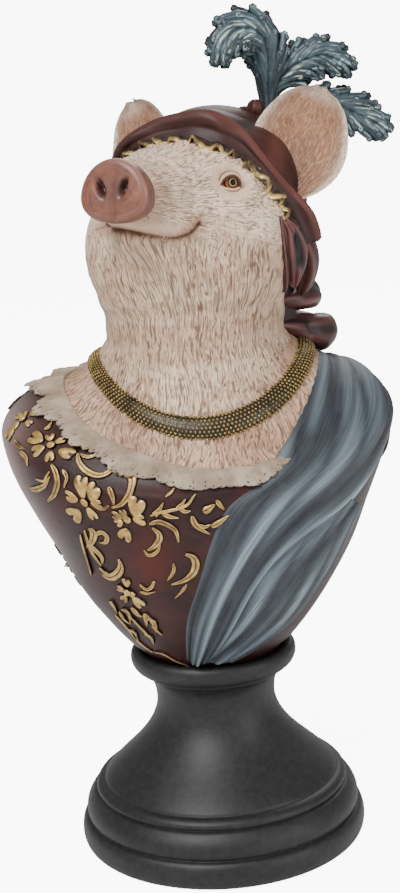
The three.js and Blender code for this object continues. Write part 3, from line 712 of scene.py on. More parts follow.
disc = Casting("hole", "rim", "brushed")
v = np.linspace(0, 1, 90)
turn = 2 * np.pi * np.arange(120) / 120
profile = smooth_table([[0.01, 67.0], [0.45, 67.2], [0.82, 67.2], [0.97, 66.2], [1.0, 64.4], [0.975, 62],
                        [0.88, 59], [0.3, 55]], v)
x = (profile[:, :1] * 11.8 * np.cos(turn) * (1 - 0.19 * np.sin(turn) + 0.06 * np.sin(turn) ** 2)
     * (1 - 0.05 * np.sin(turn) ** 4))
y = profile[:, :1] * 10 * np.sin(turn) * (1 + 0.06 * np.cos(turn) ** 2)
front = step(0.62, 0.5, v)[:, None]
pits = sum(np.exp(-(((x - s - 0.22 * s * (y - 0.6) / 3) / 1.3) ** 2 + ((y - 0.9) / 2.6) ** 2) ** 1.3)
           for s in (3.9, -3.9))
halo = sum(np.exp(-(((x - s) / 3.4) ** 2 + ((y - 0.8) / 4.6) ** 2)) for s in (4.0, -4.0))
groove = 1.2 * np.exp(-(x / 1.1) ** 2) * step(5, -6, y)
f = profile[:, 1:] + 0.6 * np.sin(turn) * profile[:, :1] - front * (3.2 * pits + 0.8 * groove - 0.5 * halo)
f = f + front * 0.45 * np.exp(-(((np.abs(x) - 7.5) / 2.5) ** 2 + ((y + 4) / 3.5) ** 2))
# A painted highlight round the rounded edge, full along the top and fading to nothing underneath.
rim = np.exp(-((v - 0.42) / 0.07) ** 2)[:, None] * (0.5 + 0.5 * np.sin(turn))
brushed = front * step(2.5, 7, np.hypot(x, y + 1)) * (0.4 + 0.6 * np.abs(np.cos(turn)))
disc.rings(on_head(x, f, y - 0.8), flow=wrapped(np.broadcast_to(v[:, None], x.shape), 60, 25),
           hole=np.clip(pits * 1.5 * front, 0, 1), rim=rim, brushed=brushed)
disc.piece("snout", snout_paint)

# %% [markdown]
# The eyes are painted: amber, with a dark rim, a pale ring and a black pupil, under thick lids.
# The eyeball is a small sphere and carries its painting as a distance from where it looks.

# %% Eyes
eye_paint, t, shader = coat("eye_paint", 0.3, 0.0, 0.12)
off = mark(t, "off")
base = tint(t, ramp(t, off, 1.0, 1.12), (0.002, 0.002, 0.003), (0.40, 0.31, 0.17))
base = tint(t, ramp(t, off, 1.25, 1.4), base, (0.07, 0.022, 0.009))
base = tint(t, ramp(t, off, 1.7, 2.1), base, (0.19, 0.075, 0.020))
base = tint(t, ramp(t, off, 2.4, 2.8), base, (0.03, 0.010, 0.006))
base = tint(t, ramp(t, off, 3.1, 3.5), base, (0.22, 0.075, 0.03))
t.links.new(base, shader.inputs["Base Color"])

balls = Casting("off")
lids = Casting("neck", "blush", "dark", "smooth")
for hand in (1, -1):
    g, r = gaze[hand], unit(np.cross(UP, gaze[hand])) * hand
    up = np.cross(g, r) * hand
    centre = eyes[hand] - 3.0 * g
    tilt_e, turn_e = np.meshgrid(np.linspace(0.02, 3.12, 50), 2 * np.pi * np.arange(64) / 64, indexing="ij")
    ball_way = (np.cos(tilt_e)[..., None] * g + (np.sin(tilt_e) * np.cos(turn_e))[..., None] * r
                + (np.sin(tilt_e) * np.sin(turn_e))[..., None] * up)
    look = unit(g + 0.1 * r * hand - 0.02 * up)
    balls.rings(centre + 4.3 * ball_way, off=4.3 * np.arccos(np.clip(ball_way @ look, -1, 1)))
    # Each lid is a roll that follows the eyeball from corner to corner.
    for shape, thick, lift, crease in (
            ([[-5.6, -2.2], [-3.7, 1.0], [-1, 2.6], [1.8, 2.3], [3.9, 0.3], [4.8, -1.8]], 0.75, 0.5, 0.05),
            ([[-5.0, -2.0], [-3.3, 0.3], [-1, 1.75], [1.7, 1.5], [3.5, -0.3], [4.3, -2.0]], 0.55, 0.4, 1.0),
            ([[-6.0, -1.4], [-4.0, 2.1], [-0.9, 3.7], [2.4, 3.4], [4.8, 1.0], [5.8, -2.0]], 0.6, 0.35, 0.9),
            ([[-6.4, -0.3], [-4.2, 3.2], [-0.8, 4.7], [2.9, 4.2], [5.5, 1.4], [6.6, -2.4]], 0.75, -0.25,
             0.05),
            ([[-5.2, -2.2], [-2.8, -2.7], [0, -2.9], [2.6, -2.7], [4.7, -1.9]], 0.55, 0.0, 0.0)):
        flat = smooth_table(shape, np.linspace(0, 1, 9))
        line = centre + (4.5 + lift) * unit(g * 4.3 + flat[:, :1] * hand * r + flat[:, 1:] * up)
        rings, normal, tt, turn_l = strand(line, [0.5, thick, thick, 0.5], [0.5, thick, thick, 0.5], g, 44,
                                           16)
        # The fold strands are painted dark as painted shade in the creases, and each lid's underside gets
        # more blush and dark as painted shade.
        lids.rings(rings, neck=0, blush=0.65 + 0.2 * (normal @ up < -0.2) * 1.0,
                   dark=np.clip(crease + 0.3 * (normal @ up < -0.4), 0, 1), smooth=0.8)
balls.piece("eyes", eye_paint)
lids.piece("eyelids", skin_paint)

# %% [markdown]
# The ears are cupped leaves. The hollow is a warm brown with fine pale hairs that fan outwards,
# and the rim and back stay cream.

# %% Ears
ear_paint, t, shader = coat("ear_paint", 0.6, 0.0, 0.35)
ear_flow = put(t, "ShaderNodeUVMap", uv_map="flow").outputs[0]
hairs = use(t, hair, Flow=ear_flow, Across=1.0, Along=0.26, Width=0.09)
fur = use(t, streaks, Flow=ear_flow, Across=1.5, Along=0.36, Soft=0.55)
cloud = use(t, mottle, Size=9.0, Detail=4.0, Sharp=0.5)
inside = tint(t, cloud, (0.38, 0.18, 0.09), (0.24, 0.10, 0.05))
inside = tint(t, mark(t, "shade"), inside, (0.10, 0.036, 0.017))
inside = tint(t, sum_up(t, "MULTIPLY", fur, 0.28), inside, (0.70, 0.50, 0.35))
inside = tint(t, sum_up(t, "MULTIPLY", hairs, 0.45), inside, (0.12, 0.05, 0.028))
outside = tint(t, cloud, (0.86, 0.73, 0.60), (0.74, 0.57, 0.44))
outside = tint(t, sum_up(t, "MULTIPLY", hairs, 0.7), outside, (0.36, 0.20, 0.13))
base = tint(t, mark(t, "hollow"), outside, inside)
t.links.new(base, shader.inputs["Base Color"])
relief(t, shader, fur, 0.5, 0.3)

leaves = Casting("hollow", "shade")
for hand, foot, tip, width in ((1, [26, -2, 2], [37.5, -9, 39.5], 1.0), (-1, [23, -2, 2], [31.5, -9, 38.5],
                                                                         1.1)):
    foot, tip = np.array(foot, float), np.array(tip, float)
    axis = tip - foot
    facing = np.array([0.44, 0.885, 0])
    facing = unit(facing - axis * (facing @ axis) / (axis @ axis))
    span = unit(np.cross(axis, facing))

    def leaf(u, v, w):
        x = 2 * u - 1
        half = smooth_table(np.array([6, 11.5, 15, 16.4, 16, 14, 10.5, 4.0]), v)
        half = width * half * (1 - 0.55 * step(0.93, 1, v))
        cup = 7.5 * x * x * (1 - 0.5 * v) - 3.5 * np.sin(np.pi * v) + 2 * v
        cup = (cup + 0.35 * np.sin(9 * x + 5 * v) * np.sin(np.pi * v)
               - 0.8 * np.exp(-(x / 0.22) ** 2) * step(0.7, 0, v) * w)
        thick = (4.2 + (2.2 - 4.2) * v) * (1 - 0.45 * x * x)
        q = (foot + v[..., None] * axis + (x * half)[..., None] * span
             + (cup + (w - 0.7) * thick)[..., None] * facing)
        return on_head(q[..., 0] * hand, q[..., 1], q[..., 2])

    rings, U, V, W = slab(leaf, 108, 100)
    x = 2 * U - 1
    wide = np.concatenate([x, x[:, :1]], 1) * 15
    long = np.concatenate([V, V[:, :1]], 1) * 40 - 0.06 * wide ** 2
    edge = np.maximum(np.abs(x), (V - 0.1) / 0.9)
    shade = 0.95 * np.exp(-((x + 0.1) / 0.6) ** 2 - ((V - 0.1) / 0.4) ** 2)
    shade = np.maximum(shade, 0.6 * np.exp(-((np.abs(x) - 0.8) / 0.1) ** 2) * step(0.9, 0.5, V))
    leaves.rings(rings, flow=(wide, long), hollow=step(0.55, 0.95, W) * step(0.99, 0.82, edge), shade=shade)
leaves.piece("ears", ear_paint)

# %% [markdown]
# The beret: a satin red-brown paint over soft folds, with painted highlights on the ridges and painted
# shade in the hollows, nearly black in the recess by the band.
# The crown sags backwards, and the brim turns up from the forehead to a thick rolled lip.

# %% Hat finish
def cloth_paint(name, light, main, deep, roughness=0.38, gloss=0.12):
    """Thin satin paint over carved cloth: main colour, ridges lighter as painted highlight, hollows darker as
    painted shade.
    """
    finish, t, shader = coat(name, roughness, gloss, 0.3)
    flow = put(t, "ShaderNodeUVMap", uv_map="flow").outputs[0]
    strokes = use(t, streaks, Flow=flow, Across=0.45, Along=0.07, Soft=0.8)
    cloud = use(t, mottle, Size=13.0, Detail=3.0, Sharp=0.6)
    base = tint(t, cloud, main, tuple(0.72 * v for v in main))
    base = tint(t, sum_up(t, "MULTIPLY", strokes, 0.22), base, light)
    # Painted highlight on the ridges, then painted shade in the hollows.
    base = tint(t, mark(t, "worn"), base, light)
    base = tint(t, mark(t, "deep"), base, deep)
    t.links.new(base, shader.inputs["Base Color"])
    relief(t, shader, strokes, 0.12, 0.25)
    return finish


hat_paint = cloth_paint("hat_paint", (0.14, 0.044, 0.033), (0.030, 0.010, 0.008), (0.007, 0.004, 0.004),
                        0.5, 0.0)
print("hat paint:", len(hat_paint.node_tree.nodes), "nodes")

# %% [markdown]
# The crown is one sagging ball of cloth over the back of the skull, with a few soft creases that
# run down from the top. An ellipsoid with waves on it gives that, and keeps a closed seam.

# %% Crown of the beret
BAND_FORWARD, BAND_UP = 3.9, -4.7       # the band's centre, from the head's centre
LEAN, RISE_SHARE = 0.65, 0.76           # how the band's plane leans forward


def band(angle, out, on):
    """A point about the hat band: angle from the top, distance from its centre, distance forward."""
    a = np.radians(angle)
    return on_head(out * np.sin(a), BAND_FORWARD + LEAN * out * np.cos(a) + RISE_SHARE * on,
                   BAND_UP + RISE_SHARE * out * np.cos(a) - LEAN * on)


crown = Casting("worn", "deep")
v, u = np.meshgrid(np.linspace(0.004, 0.996, 100), np.arange(150) / 150, indexing="ij")
round_, rise = 2 * np.pi * u, np.pi * v
sag = 1 + 0.03 * np.sin(3 * round_) * np.sin(rise)
crease = np.sin(5 * round_ + 3 * v + 1.5 * np.sin(2 * round_)) * np.sin(rise) ** 2
sag = sag + 0.018 * crease + 0.006 * np.sin(13 * round_ + 9 * v) * np.sin(rise) ** 2
# The crease ridges get a painted highlight and the valleys painted shade.
crown.rings(on_head(29 * np.sin(rise) * np.cos(round_) * sag - 2,
                    -10 + 28 * np.sin(rise) * np.sin(round_) * sag,
                    11 - 25 * np.cos(rise)),
            flow=wrapped(v, 180, 80), worn=0.4 * step(0.3, 1, crease), deep=0.5 * step(-0.3, -1, crease))
crown.piece("beret_crown", hat_paint)

# %% [markdown]
# On the far side the hat must close between band and nape, where the photograph doesn't look.
# A thin pleated cap does that. It is a bent slab that rests on the skull: each point is found
# along a ray from the band's centre, which keeps the cloth off the skin wherever the head bulges.

# %% Cap behind the band
CAP_SWEEP = 124                         # degrees either way from the top of the band
cap = Casting("worn", "deep")


def cap_point(u, v, w):
    turn, back = np.radians(CAP_SWEEP * (2 * v - 1)), np.radians(4 + 98 * u)
    origin = band(0, 0, 0)
    radial = unit(band(CAP_SWEEP * (2 * v - 1), 1, 0) - origin)
    behind = unit(origin - band(0, 0, 1))
    way = unit(np.cos(back)[..., None] * radial + np.sin(back)[..., None] * behind)
    puff = (1.6 + 2.2 * np.sin(np.pi * np.minimum(u * 1.3, 1))
            + 0.5 * np.sin(turn * 7 + 3 * u) * np.sin(np.pi * u))
    return origin + way * (meet(origin, way, 60) + np.where(w > 0.5, puff * (2 * w - 1),
                                                            3 * (w - 0.5)))[..., None]


rings, U, V, W = slab(cap_point, 110, 76)
pleats = np.sin(np.radians(CAP_SWEEP * (2 * V - 1)) * 7 + 3 * U)
# The pleat ridges get a painted highlight and the valleys painted shade.
cap.rings(rings, flow=(seamed(U, 50), seamed(V, 150)),
          worn=0.35 * step(0.4, 1, pleats), deep=0.5 * step(-0.4, -1, pleats))
cap.piece("beret_cap", hat_paint)

# %% [markdown]
# The brim is a strip that runs round the face from ear to ear and turns up into a rolled lip.
# Its tables give, from the pig's right to its left, how far the lip stands out from the band,
# where its root is and how far it leans back. They were read off the outline.

# %% Turned-up brim
LIP = np.array([33, 33, 34, 36, 37, 38.5, 38, 38.4, 40.2, 38, 34, 33.2, 34.5, 41.5, 46.6])
ROOT = np.array([31.5] * 12 + [32, 34.5, 38])
BACK = np.array([-12, -11, -9, -5, -1, -1, -5, -6.5, -7, -7, -7, -6, -7, -9, -11.0])
RISE = np.array([0, 0.32, 0.66, 0.9, 1.0])
BRIM_THICK = np.array([4, 3.4, 3.6, 5.4, 3.4])


def brim_point(u, v, w):
    angle = -112 + 219 * v
    ends = np.minimum(1, 6 * np.minimum(v, 1 - v) + 0.25)
    rise = smooth_table(RISE, u) * (0.4 + 0.6 * ends)
    root = smooth_table(ROOT, v * 0.97)
    out = root + (smooth_table(LIP, v * 0.97) - root) * rise - 1.6 * np.sin(np.pi * u)
    thick = smooth_table(BRIM_THICK, u)
    back = smooth_table(BACK, v * 0.97)
    ripple = (0.5 * np.sin(v * 31 + 2 * u) * np.sin(np.pi * u)
              + 0.35 * np.sin(v * 57 + 5 * u) * u * (1 - u) * 2)
    fold = (1.1 * np.exp(-((u - 0.55 - 0.12 * np.sin(9 * v)) / 0.08) ** 2) * np.sin(np.pi * v) ** 0.5
            * (w > 0.5))
    return band(angle, out + (w - 0.5) * thick * 0.45 + ripple * 0.5,
                1.5 + (back - 1.5) * rise + (w - 0.6) * thick + ripple - 0.5 * fold)


brim = Casting("worn", "deep")
rings, U, V, W = slab(brim_point, 220, 84)
# Painted highlight on the outer lip, stronger towards the pig's left, and painted shade, nearly black, in the
# recess by the band.
brim.rings(rings, flow=(seamed(U, 14), seamed(V, 150)),
           worn=(0.3 + 0.45 * step(0.5, 0.75, V)) * step(0.6, 0.95, U) * step(0.35, 0.8, W),
           deep=0.95 * step(0.5, 0.12, U) * step(0.3, 0.7, W))
brim.piece("beret_brim", hat_paint)

# %% [markdown]
# A pleated ribbon stands along the band. Its free edge is gilt and the hollows are dark.

# %% Gilt-edged frill
frill_paint, t, shader = coat("frill_paint", 0.34, 0.1, 0.45)
gilt = mark(t, "gilt")
patchy = use(t, mottle, Size=2.2, Detail=3.0, Sharp=0.8)
missed = use(t, mottle, Size=7.0, Detail=1.0, Sharp=0.9)
leafing = sum_up(t, "MULTIPLY", gilt, sum_up(t, "ADD", 0.15,
                                             sum_up(t, "MULTIPLY", sum_up(t, "MAXIMUM", patchy, missed),
                                                    0.9)), True)
base = tint(t, patchy, (0.016, 0.008, 0.007), (0.05, 0.03, 0.02))
base = tint(t, leafing, base, (0.86, 0.60, 0.20))
t.links.new(base, shader.inputs["Base Color"])
t.links.new(sum_up(t, "MULTIPLY", leafing, 0.55), shader.inputs["Metallic"])

frill = Casting("gilt")


def frill_point(u, v, w):
    angle = -58 + 156 * v
    turns = 2 * np.pi * (v * 13.5 + 0.16 * np.sin(v * 21))
    wave = (np.sin(turns) + 0.3 * np.sin(2 * turns + 0.8) + 0.25 * np.sin(v * 47)) * (0.3 + 0.9 * u)
    wave = wave * (1.7 + 0.6 * np.sin(v * 33))
    return band(angle + 1.2 * np.cos(turns) * u, 33.9 + wave + (w - 0.5) * (0.8 + 0.9 * u),
                0.2 + (3.9 + 0.7 * np.sin(v * 41)) * u)


rings, U, V, W = slab(frill_point, 560, 24)
frill_wave = np.sin(2 * np.pi * (V * 13.5 + 0.16 * np.sin(V * 21)))
frill.rings(rings, gilt=step(0.5, 0.8, U) * (0.25 + 0.75 * step(0.3, -0.5, frill_wave)))
frill.piece("gilt_frill", frill_paint)

# %% [markdown]
# The plumes grow out of a twisted knot of the same cloth. A cluster of dented balls, each a
# little turned against the next, reads as that from every side.

# %% Knot at the plumes' foot
knot = Casting("worn", "deep")
for k, (x, y, z, r) in enumerate([(26.5, 11, 189.5, 5.6), (22.5, 5.5, 192, 3.6), (27.5, 3.5, 189, 3.4),
                                  (30.5, 6, 185, 3.2),
                                  (25.5, 2.8, 185, 3.0), (31, 11, 190, 3.6), (27, 8, 194.5, 3.2)]):
    a, b = np.meshgrid(np.linspace(0.05, 3.09, 26), 2 * np.pi * np.arange(34) / 34, indexing="ij")
    lump = 1 + 0.1 * np.sin(3 * b + k) * np.sin(a) + 0.06 * np.sin(7 * b + 2 * a)
    body = np.stack([np.sin(a) * np.cos(b), 1.1 * np.sin(a) * np.sin(b), np.cos(a)],
                    -1) * (r * lump)[..., None]
    # Bulges get a painted highlight and dents painted shade.
    knot.rings(np.array([x, y, z]) + body, worn=0.4 * step(0.9, 1.15, lump), deep=0.6 * step(1.0, 0.9, lump))
knot.piece("knot", hat_paint)

# %% [markdown]
# A scarf hangs from the beret behind the cheek: a looped ribbon, then two thick rolls that go
# round the nape, and a gathered fall behind. The photograph shows only its left end. The rest is
# finished in keeping, with plainer folds.

# %% Scarf
scarf_paint = cloth_paint("scarf_paint", (0.22, 0.09, 0.08), (0.072, 0.026, 0.022), (0.007, 0.004, 0.004),
                          0.4, 0.1)
scarf = Casting("worn", "deep")
OUTWARD = unit(np.array([0.35, -0.94, 0]))
rings, normal, t_, turn_ = strand([[32.8, -28.5, 158.5], [34.9, -28, 154.8], [35.9, -27, 150.3],
                                   [36.1, -24.5, 145.8], [35.7, -21, 141.1], [35.2, -16, 135]],
                                  [1.6, 2.6, 3.8, 4, 3.2, 2], [3, 3.4, 4, 4, 3.6, 3], OUTWARD, 80, 64)
front = step(0.1, 0.6, normal @ OUTWARD)
x = np.cos(turn_)
# The hollow inside the loop is painted nearly black as painted shade; pleat tops get a painted highlight.
cave = front * np.exp(-((x - 0.05) / 0.4) ** 2) * step(0.16, 0.3, t_) * step(0.74, 0.6, t_)
pleat = front * np.sin(x * 10 + 2 * t_) * 0.22
scarf.rings(rings + normal * (pleat - 1.8 * cave)[..., None],
            worn=0.5 * step(0.05, 0.2, pleat) * (1 - cave),
            deep=np.clip(cave * 1.4 + 0.3 * step(-0.05, -0.2, pleat), 0, 1))
for line, wide, thick, waves in (
        ([[31.2, -28, 159.9], [31.4, -28.5, 153.7], [31.6, -27, 147], [31.8, -22.5, 139.8],
          [31.8, -17, 133.4]],
         [1.2, 1.6, 1.8, 1.6, 1.4], [2, 2.4, 2.6, 2.4, 2], 7),
        ([[36, -8, 157], [40, -5, 150], [42, -1, 143], [41.5, 3, 136], [39, 6, 129]],
         [3, 3.6, 3.6, 3.4, 3], [3, 3.6, 3.8, 3.6, 3], 6)):
    rings, normal, t_, turn_ = strand(line, wide, thick, OUTWARD, 60, 44)
    pleat = np.sin(np.cos(turn_) * waves + 2 * t_) * step(0, 0.5, normal @ OUTWARD)
    # Pleat tops get a painted highlight and the valleys painted shade.
    scarf.rings(rings + normal * (0.3 * pleat)[..., None], worn=0.45 * step(0.2, 1, pleat),
                deep=0.65 * step(-0.2, -1, pleat))
for line, wide, thick, seed in (
        ([[30, 3, 127], [38, 8, 127.5], [42, 18, 128], [34, 30, 129], [16, 37, 130], [-4, 37, 130],
          [-18, 31, 129.5], [-25, 22, 129], [-24, 13, 128]], [4.5, 5.6, 6.4, 6.6, 6.6, 6.4, 6, 5, 3.5],
         [5, 5.5, 6, 6, 6, 6, 6, 5, 3.5], 0.0),
        ([[29, 1, 120], [38, 8, 117], [46, 17, 114], [42, 30, 113], [24, 40, 114], [0, 41, 115],
          [-16, 37, 115],
          [-26, 28, 115], [-26, 18, 116]], [4, 6, 7.4, 7.2, 7, 7, 6.6, 5.4, 3.5], [4.5, 6, 7.2, 7, 7, 7,
                                                                                   6.4, 5.4, 3.5], 1.3)):
    rings, normal, t_, turn_ = strand(line, wide, thick, [0, 0, 1], 200, 52)
    fold = np.sin(3 * turn_ + 16 * t_ + seed) + 0.5 * np.sin(5 * turn_ - 23 * t_ + 2 * seed)
    pinch = np.exp(-((np.sin(13 * t_ + seed + 0.5 * np.sin(turn_))) / 0.25) ** 2)
    rings = rings + normal * (0.35 * fold - 0.5 * pinch)[..., None]
    # Fold tops get a painted highlight; valleys and pinches get painted shade.
    scarf.rings(rings, flow=wrapped(t_, 38, 150), worn=0.5 * step(0.4, 1.4, fold),
                deep=0.75 * step(-0.2, -1.3, fold - pinch))


def fall_point(u, v, w):
    first, last = -8 - 22 * step(0.3, 0.7, v), 152 + 26 * v
    angle = np.radians(first + (last - first) * u)
    axis = np.stack([3 + 0 * u, 3 + 0 * u, 117 + 47 * v], -1)
    way = np.stack([np.cos(angle), np.sin(angle), 0 * u], -1)
    fold = 0.9 * np.cos(angle * 9) + 0.4 * np.cos(angle * 17 + 3 * v)
    ends = step(0, 0.1, u) * step(1, 0.86, u) * step(1, 0.7, v)
    full = (2.6 + fold + 7 * step(0.48, 0.26, v)) * ends - 0.6 * (1 - ends) + 0.4
    return axis + way * (meet(axis, way, 60) + np.where(w > 0.5, full * (2 * w - 1),
                                                        5 * (w - 0.5)))[..., None]


rings, U, V, W = slab(fall_point, 44, 260)
angle = np.radians(-30 + 200 * U)
# Fold tops get a painted highlight and the valleys painted shade.
scarf.rings(rings, worn=0.4 * step(0.3, 1, np.cos(angle * 9)), deep=0.75 * step(0.1, -0.9, np.cos(angle * 9)))
scarf.piece("scarf", scarf_paint)

# %% [markdown]
# Three curling plumes stand at the beret's left. On the casting they are solid leaves cut with
# flowing barbs. Each is a dark body with locks that leave the quill, sweep on along the feather
# and end in a curl at its edge. A pale blue-green dry brush picks out every ridge.

# %% Plumes
plume_paint, t, shader = coat("plume_paint", 0.42, 0.08, 0.4)
ridge = mark(t, "ridge")
plume_flow = put(t, "ShaderNodeUVMap", uv_map="flow").outputs[0]
barbs = use(t, streaks, Flow=plume_flow, Across=1.2, Along=0.14, Soft=0.5)
cloud = use(t, mottle, Size=6.0, Detail=3.0, Sharp=0.7)
high = sum_up(t, "MULTIPLY", ridge, sum_up(t, "ADD", 0.45, sum_up(t, "MULTIPLY", barbs, 0.65)), True)
base = tint(t, barbs, (0.005, 0.008, 0.012), (0.014, 0.024, 0.033))
base = tint(t, high, base, tint(t, cloud, (0.15, 0.24, 0.265), (0.065, 0.11, 0.13)))
base = tint(t, ramp(t, high, 0.66, 0.98), base, tint(t, cloud, (0.46, 0.58, 0.56), (0.44, 0.47, 0.27)))
t.links.new(base, shader.inputs["Base Color"])
relief(t, shader, barbs, 0.3, 0.3)

plumes = Casting("ridge")
PLUME_FACE = unit(np.array([0, -1, 0.1]))
PLUMES = (
    ([[28.5, 19, 186], [31.6, 22, 194.4], [32, 21.5, 202.5], [32.4, 20, 210], [31, 18, 217.5],
      [26, 14, 221.5],
      [20.5, 11, 220.6], [16.6, 8, 216], [15.4, 7, 211]],
     [3, 3.6, 4.8, 6.6, 7.8, 7.8, 7, 5, 2], [3, 3, 3, 3.2, 3.4, 3.4, 3.2, 3, 2], 12, 0.30),
    ([[29, 20, 190], [34, 24, 201], [40, 24, 207], [46, 24, 210], [52, 23, 211], [57.6, 22, 209],
      [61.5, 20, 206]],
     [3, 4.6, 7, 7, 6.6, 4.6, 2], [3, 3, 3, 3, 3, 2.6, 2], 8, 0.12),
    ([[27, 19, 188], [35, 23, 193], [43.7, 26, 195], [52.9, 28, 194.4], [60.2, 30, 192], [66.3, 31, 189],
      [72.1, 32, 185.4], [74.9, 32, 183]],
     [3, 4, 5.4, 6.6, 7.2, 6.8, 4.4, 2], [3, 3, 3, 3, 3, 3, 2.6, 2], 10, 0.15),
)


def along_feather(line, wide, thick, t, a, side, lift):
    """A point of a feather at t along its quill and a across it, on its front or back."""
    centre = smooth_table(line, t)
    way = unit(smooth_table(line, t + 1e-3) - smooth_table(line, t - 1e-3))
    across = unit(np.cross(way, np.broadcast_to(PLUME_FACE, way.shape)))
    out = unit(np.cross(across, way))
    bulge = smooth_table(thick, t) * np.sqrt(np.clip(1 - 0.92 * np.minimum(np.abs(a), 1) ** 2, 0,
                                                     1)) * 0.7 + lift
    return centre + (a * smooth_table(wide, t))[:, None] * across + (side * bulge)[:, None] * out


for line, wide, thick, stations, dark in PLUMES:
    rings, normal, t_, turn_ = strand(line, np.array(wide) * 0.86, np.array(thick) * 0.7, PLUME_FACE, 80, 48)
    groove = np.cos(8 * np.pi * np.cos(turn_))
    plumes.rings(rings + 0.25 * groove[..., None] * normal,
                 ridge=0.12 * step(0, 1, groove) * np.ones_like(t_),
                 flow=wrapped(t_, 30, 60))
    for side in (1, -1):
        for k in range(stations):
            for hand in (1, -1):
                for reach_, span, lift in ((1.0, 0.36, 0.0), (0.58, 0.27, 0.55)):
                    start = 0.86 * (k + (0.5 if reach_ < 1 else 0) + 0.25 * rng.random()) / stations
                    end = min(start + span * (0.85 + 0.3 * rng.random()), 0.995)
                    s = np.linspace(0, 1, 9)
                    a = hand * (0.08 + (reach_ * (0.80 + 0.2 * rng.random()) - 0.08) * s ** 1.7)
                    path = along_feather(line, wide, thick, start + (end - start) * s, a, side,
                                         lift + 0.35 * np.sin(np.pi * s))
                    tip = path[-1] - path[-2]
                    outward = path[-1] - smooth_table(line, end)
                    outward = unit(outward - tip * (outward @ tip) / (tip @ tip))
                    path = np.concatenate([path, [path[-1] + 0.9 * unit(tip) + 0.4 * outward,
                                                  path[-1] + 0.7 * unit(tip) + 1.1 * outward,
                                                  path[-1] - 0.4 * unit(tip) + 1.0 * outward]])
                    full = 0.95 + 0.55 * smooth_table(wide, (start + end) / 2) / 7
                    lock, way, tt, turn_l = strand(path, full * np.array([0.7, 1.0, 1.1, 1.05, 1.0, 0.9]),
                                                   [0.9, 1.2, 1.3, 1.25, 1.1, 0.9], side * PLUME_FACE, 17, 8)
                    lit = step(0.5, 1.0, np.sin(turn_l)) * (0.25 + 0.75 * step(dark * 0.5, dark + 0.15,
                                                                               start + (end - start) * tt))
                    across, along = wrapped(tt, 4, 16)
                    plumes.rings(lock, ridge=lit * (0.75 + 0.25 * rng.random()), flow=(across + 9 * k, along))
plumes.piece("plumes", plume_paint)

# %% [markdown]
# The bodice: satin dark red over the shoulders' loft, with a pinkish painted rim light on the left
# flank and painted shade, almost black, at the bottom. It closes underneath, where it sits in the pedestal.

# %% Bodice
dress_paint, t, shader = coat("dress_paint", 0.44, 0.03, 0.25)
dress_flow = put(t, "ShaderNodeUVMap", uv_map="flow").outputs[0]
strokes = use(t, streaks, Flow=dress_flow, Across=0.12, Along=0.5, Soft=0.8)
cloud = use(t, mottle, Size=16.0, Detail=4.0, Sharp=0.7)
small = use(t, mottle, Size=5.0, Detail=4.0, Sharp=0.5)
base = tint(t, cloud, (0.038, 0.0085, 0.0065), (0.013, 0.006, 0.006))
base = tint(t, sum_up(t, "MULTIPLY", small, 0.3), base, (0.016, 0.008, 0.009))
base = tint(t, sum_up(t, "MULTIPLY", strokes, 0.25), base, (0.065, 0.018, 0.014))
# Painted rim light: a pale pink sheen along the left flank.
base = tint(t, mark(t, "sheen"), base, (0.40, 0.30, 0.28))
base = tint(t, mark(t, "warm"), base, (0.085, 0.011, 0.006))
# Painted shade at the bottom, inside the pedestal's seat.
base = tint(t, mark(t, "deep"), base, (0.015, 0.008, 0.010))
t.links.new(base, shader.inputs["Base Color"])
relief(t, shader, small, 0.15, 0.4)

bodice = Casting("sheen", "warm", "deep")
HEM = np.array([[-180, 11.3], [-168, 11.2], [-145, 11.1], [-130, 11.1], [-112, 10.3], [-104, 10.6],
                [-92, 9.4],
                [-83, 9.5], [-74, 9.1], [-62, 10.2], [-45, 11.2], [0, 11.4], [90, 11.4], [150, 11.4],
                [180, 11.3]])


LACE_TOP = np.array([[-180, 11.85], [-162, 11.8], [-149, 11.75], [-136, 11.8], [-123, 12.0], [-112, 12.1],
                     [-101, 12.05],
                     [-85, 11.85], [-71, 10.95], [-57, 10.75], [-48, 10.8], [-40, 11.1], [0, 11.85],
                     [90, 11.95], [180, 11.85]])


def lace_top(angle):
    return np.interp(angle, LACE_TOP[:, 0], LACE_TOP[:, 1])


angle, share = np.meshgrid(np.arange(-180, 180, 1.875), np.linspace(0, 1, 120), indexing="xy")
row = share * (np.interp(angle, HEM[:, 0], HEM[:, 1]) + 0.35)
swell = 0.35 + 0.25 * np.sin(np.radians(angle) * 5 + row * 0.9) * step(1, 4, row) * step(12, 9, row)
cloth = torso(angle, row, swell)
off = np.abs((angle + 90 + 180) % 360 - 180)
px = to_pixel(cloth)
# Painted rim light along the left flank, between the lower and upper rows.
sheen = 0.7 * np.exp(-(((angle + 172 + 180) % 360 - 180) / 17) ** 2) * step(4, 6, row) * step(11.5, 9, row)
warm = 0.75 * np.exp(-((px[..., 0] - 152) / 20) ** 2 - ((px[..., 1] - 562) / 26) ** 2) * (off < 90)
# Painted shade on the lowest rows, where the bodice sits in the pedestal.
deep = 0.8 * step(1.6, 0.4, row)
bodice.rings(cloth, flow=wrapped(row, 300, 10), sheen=sheen, warm=warm, deep=deep)
bodice.piece("bodice", dress_paint)

# %% [markdown]
# The sash lies over the left shoulder and sweeps down to the front of the seat in long folds. It
# is one layer over another. A blue-grey coat was stroked lengthwise with light blue. The fold tops,
# the crests and an edge of the upper layer carry painted highlights, and the valleys painted shade.

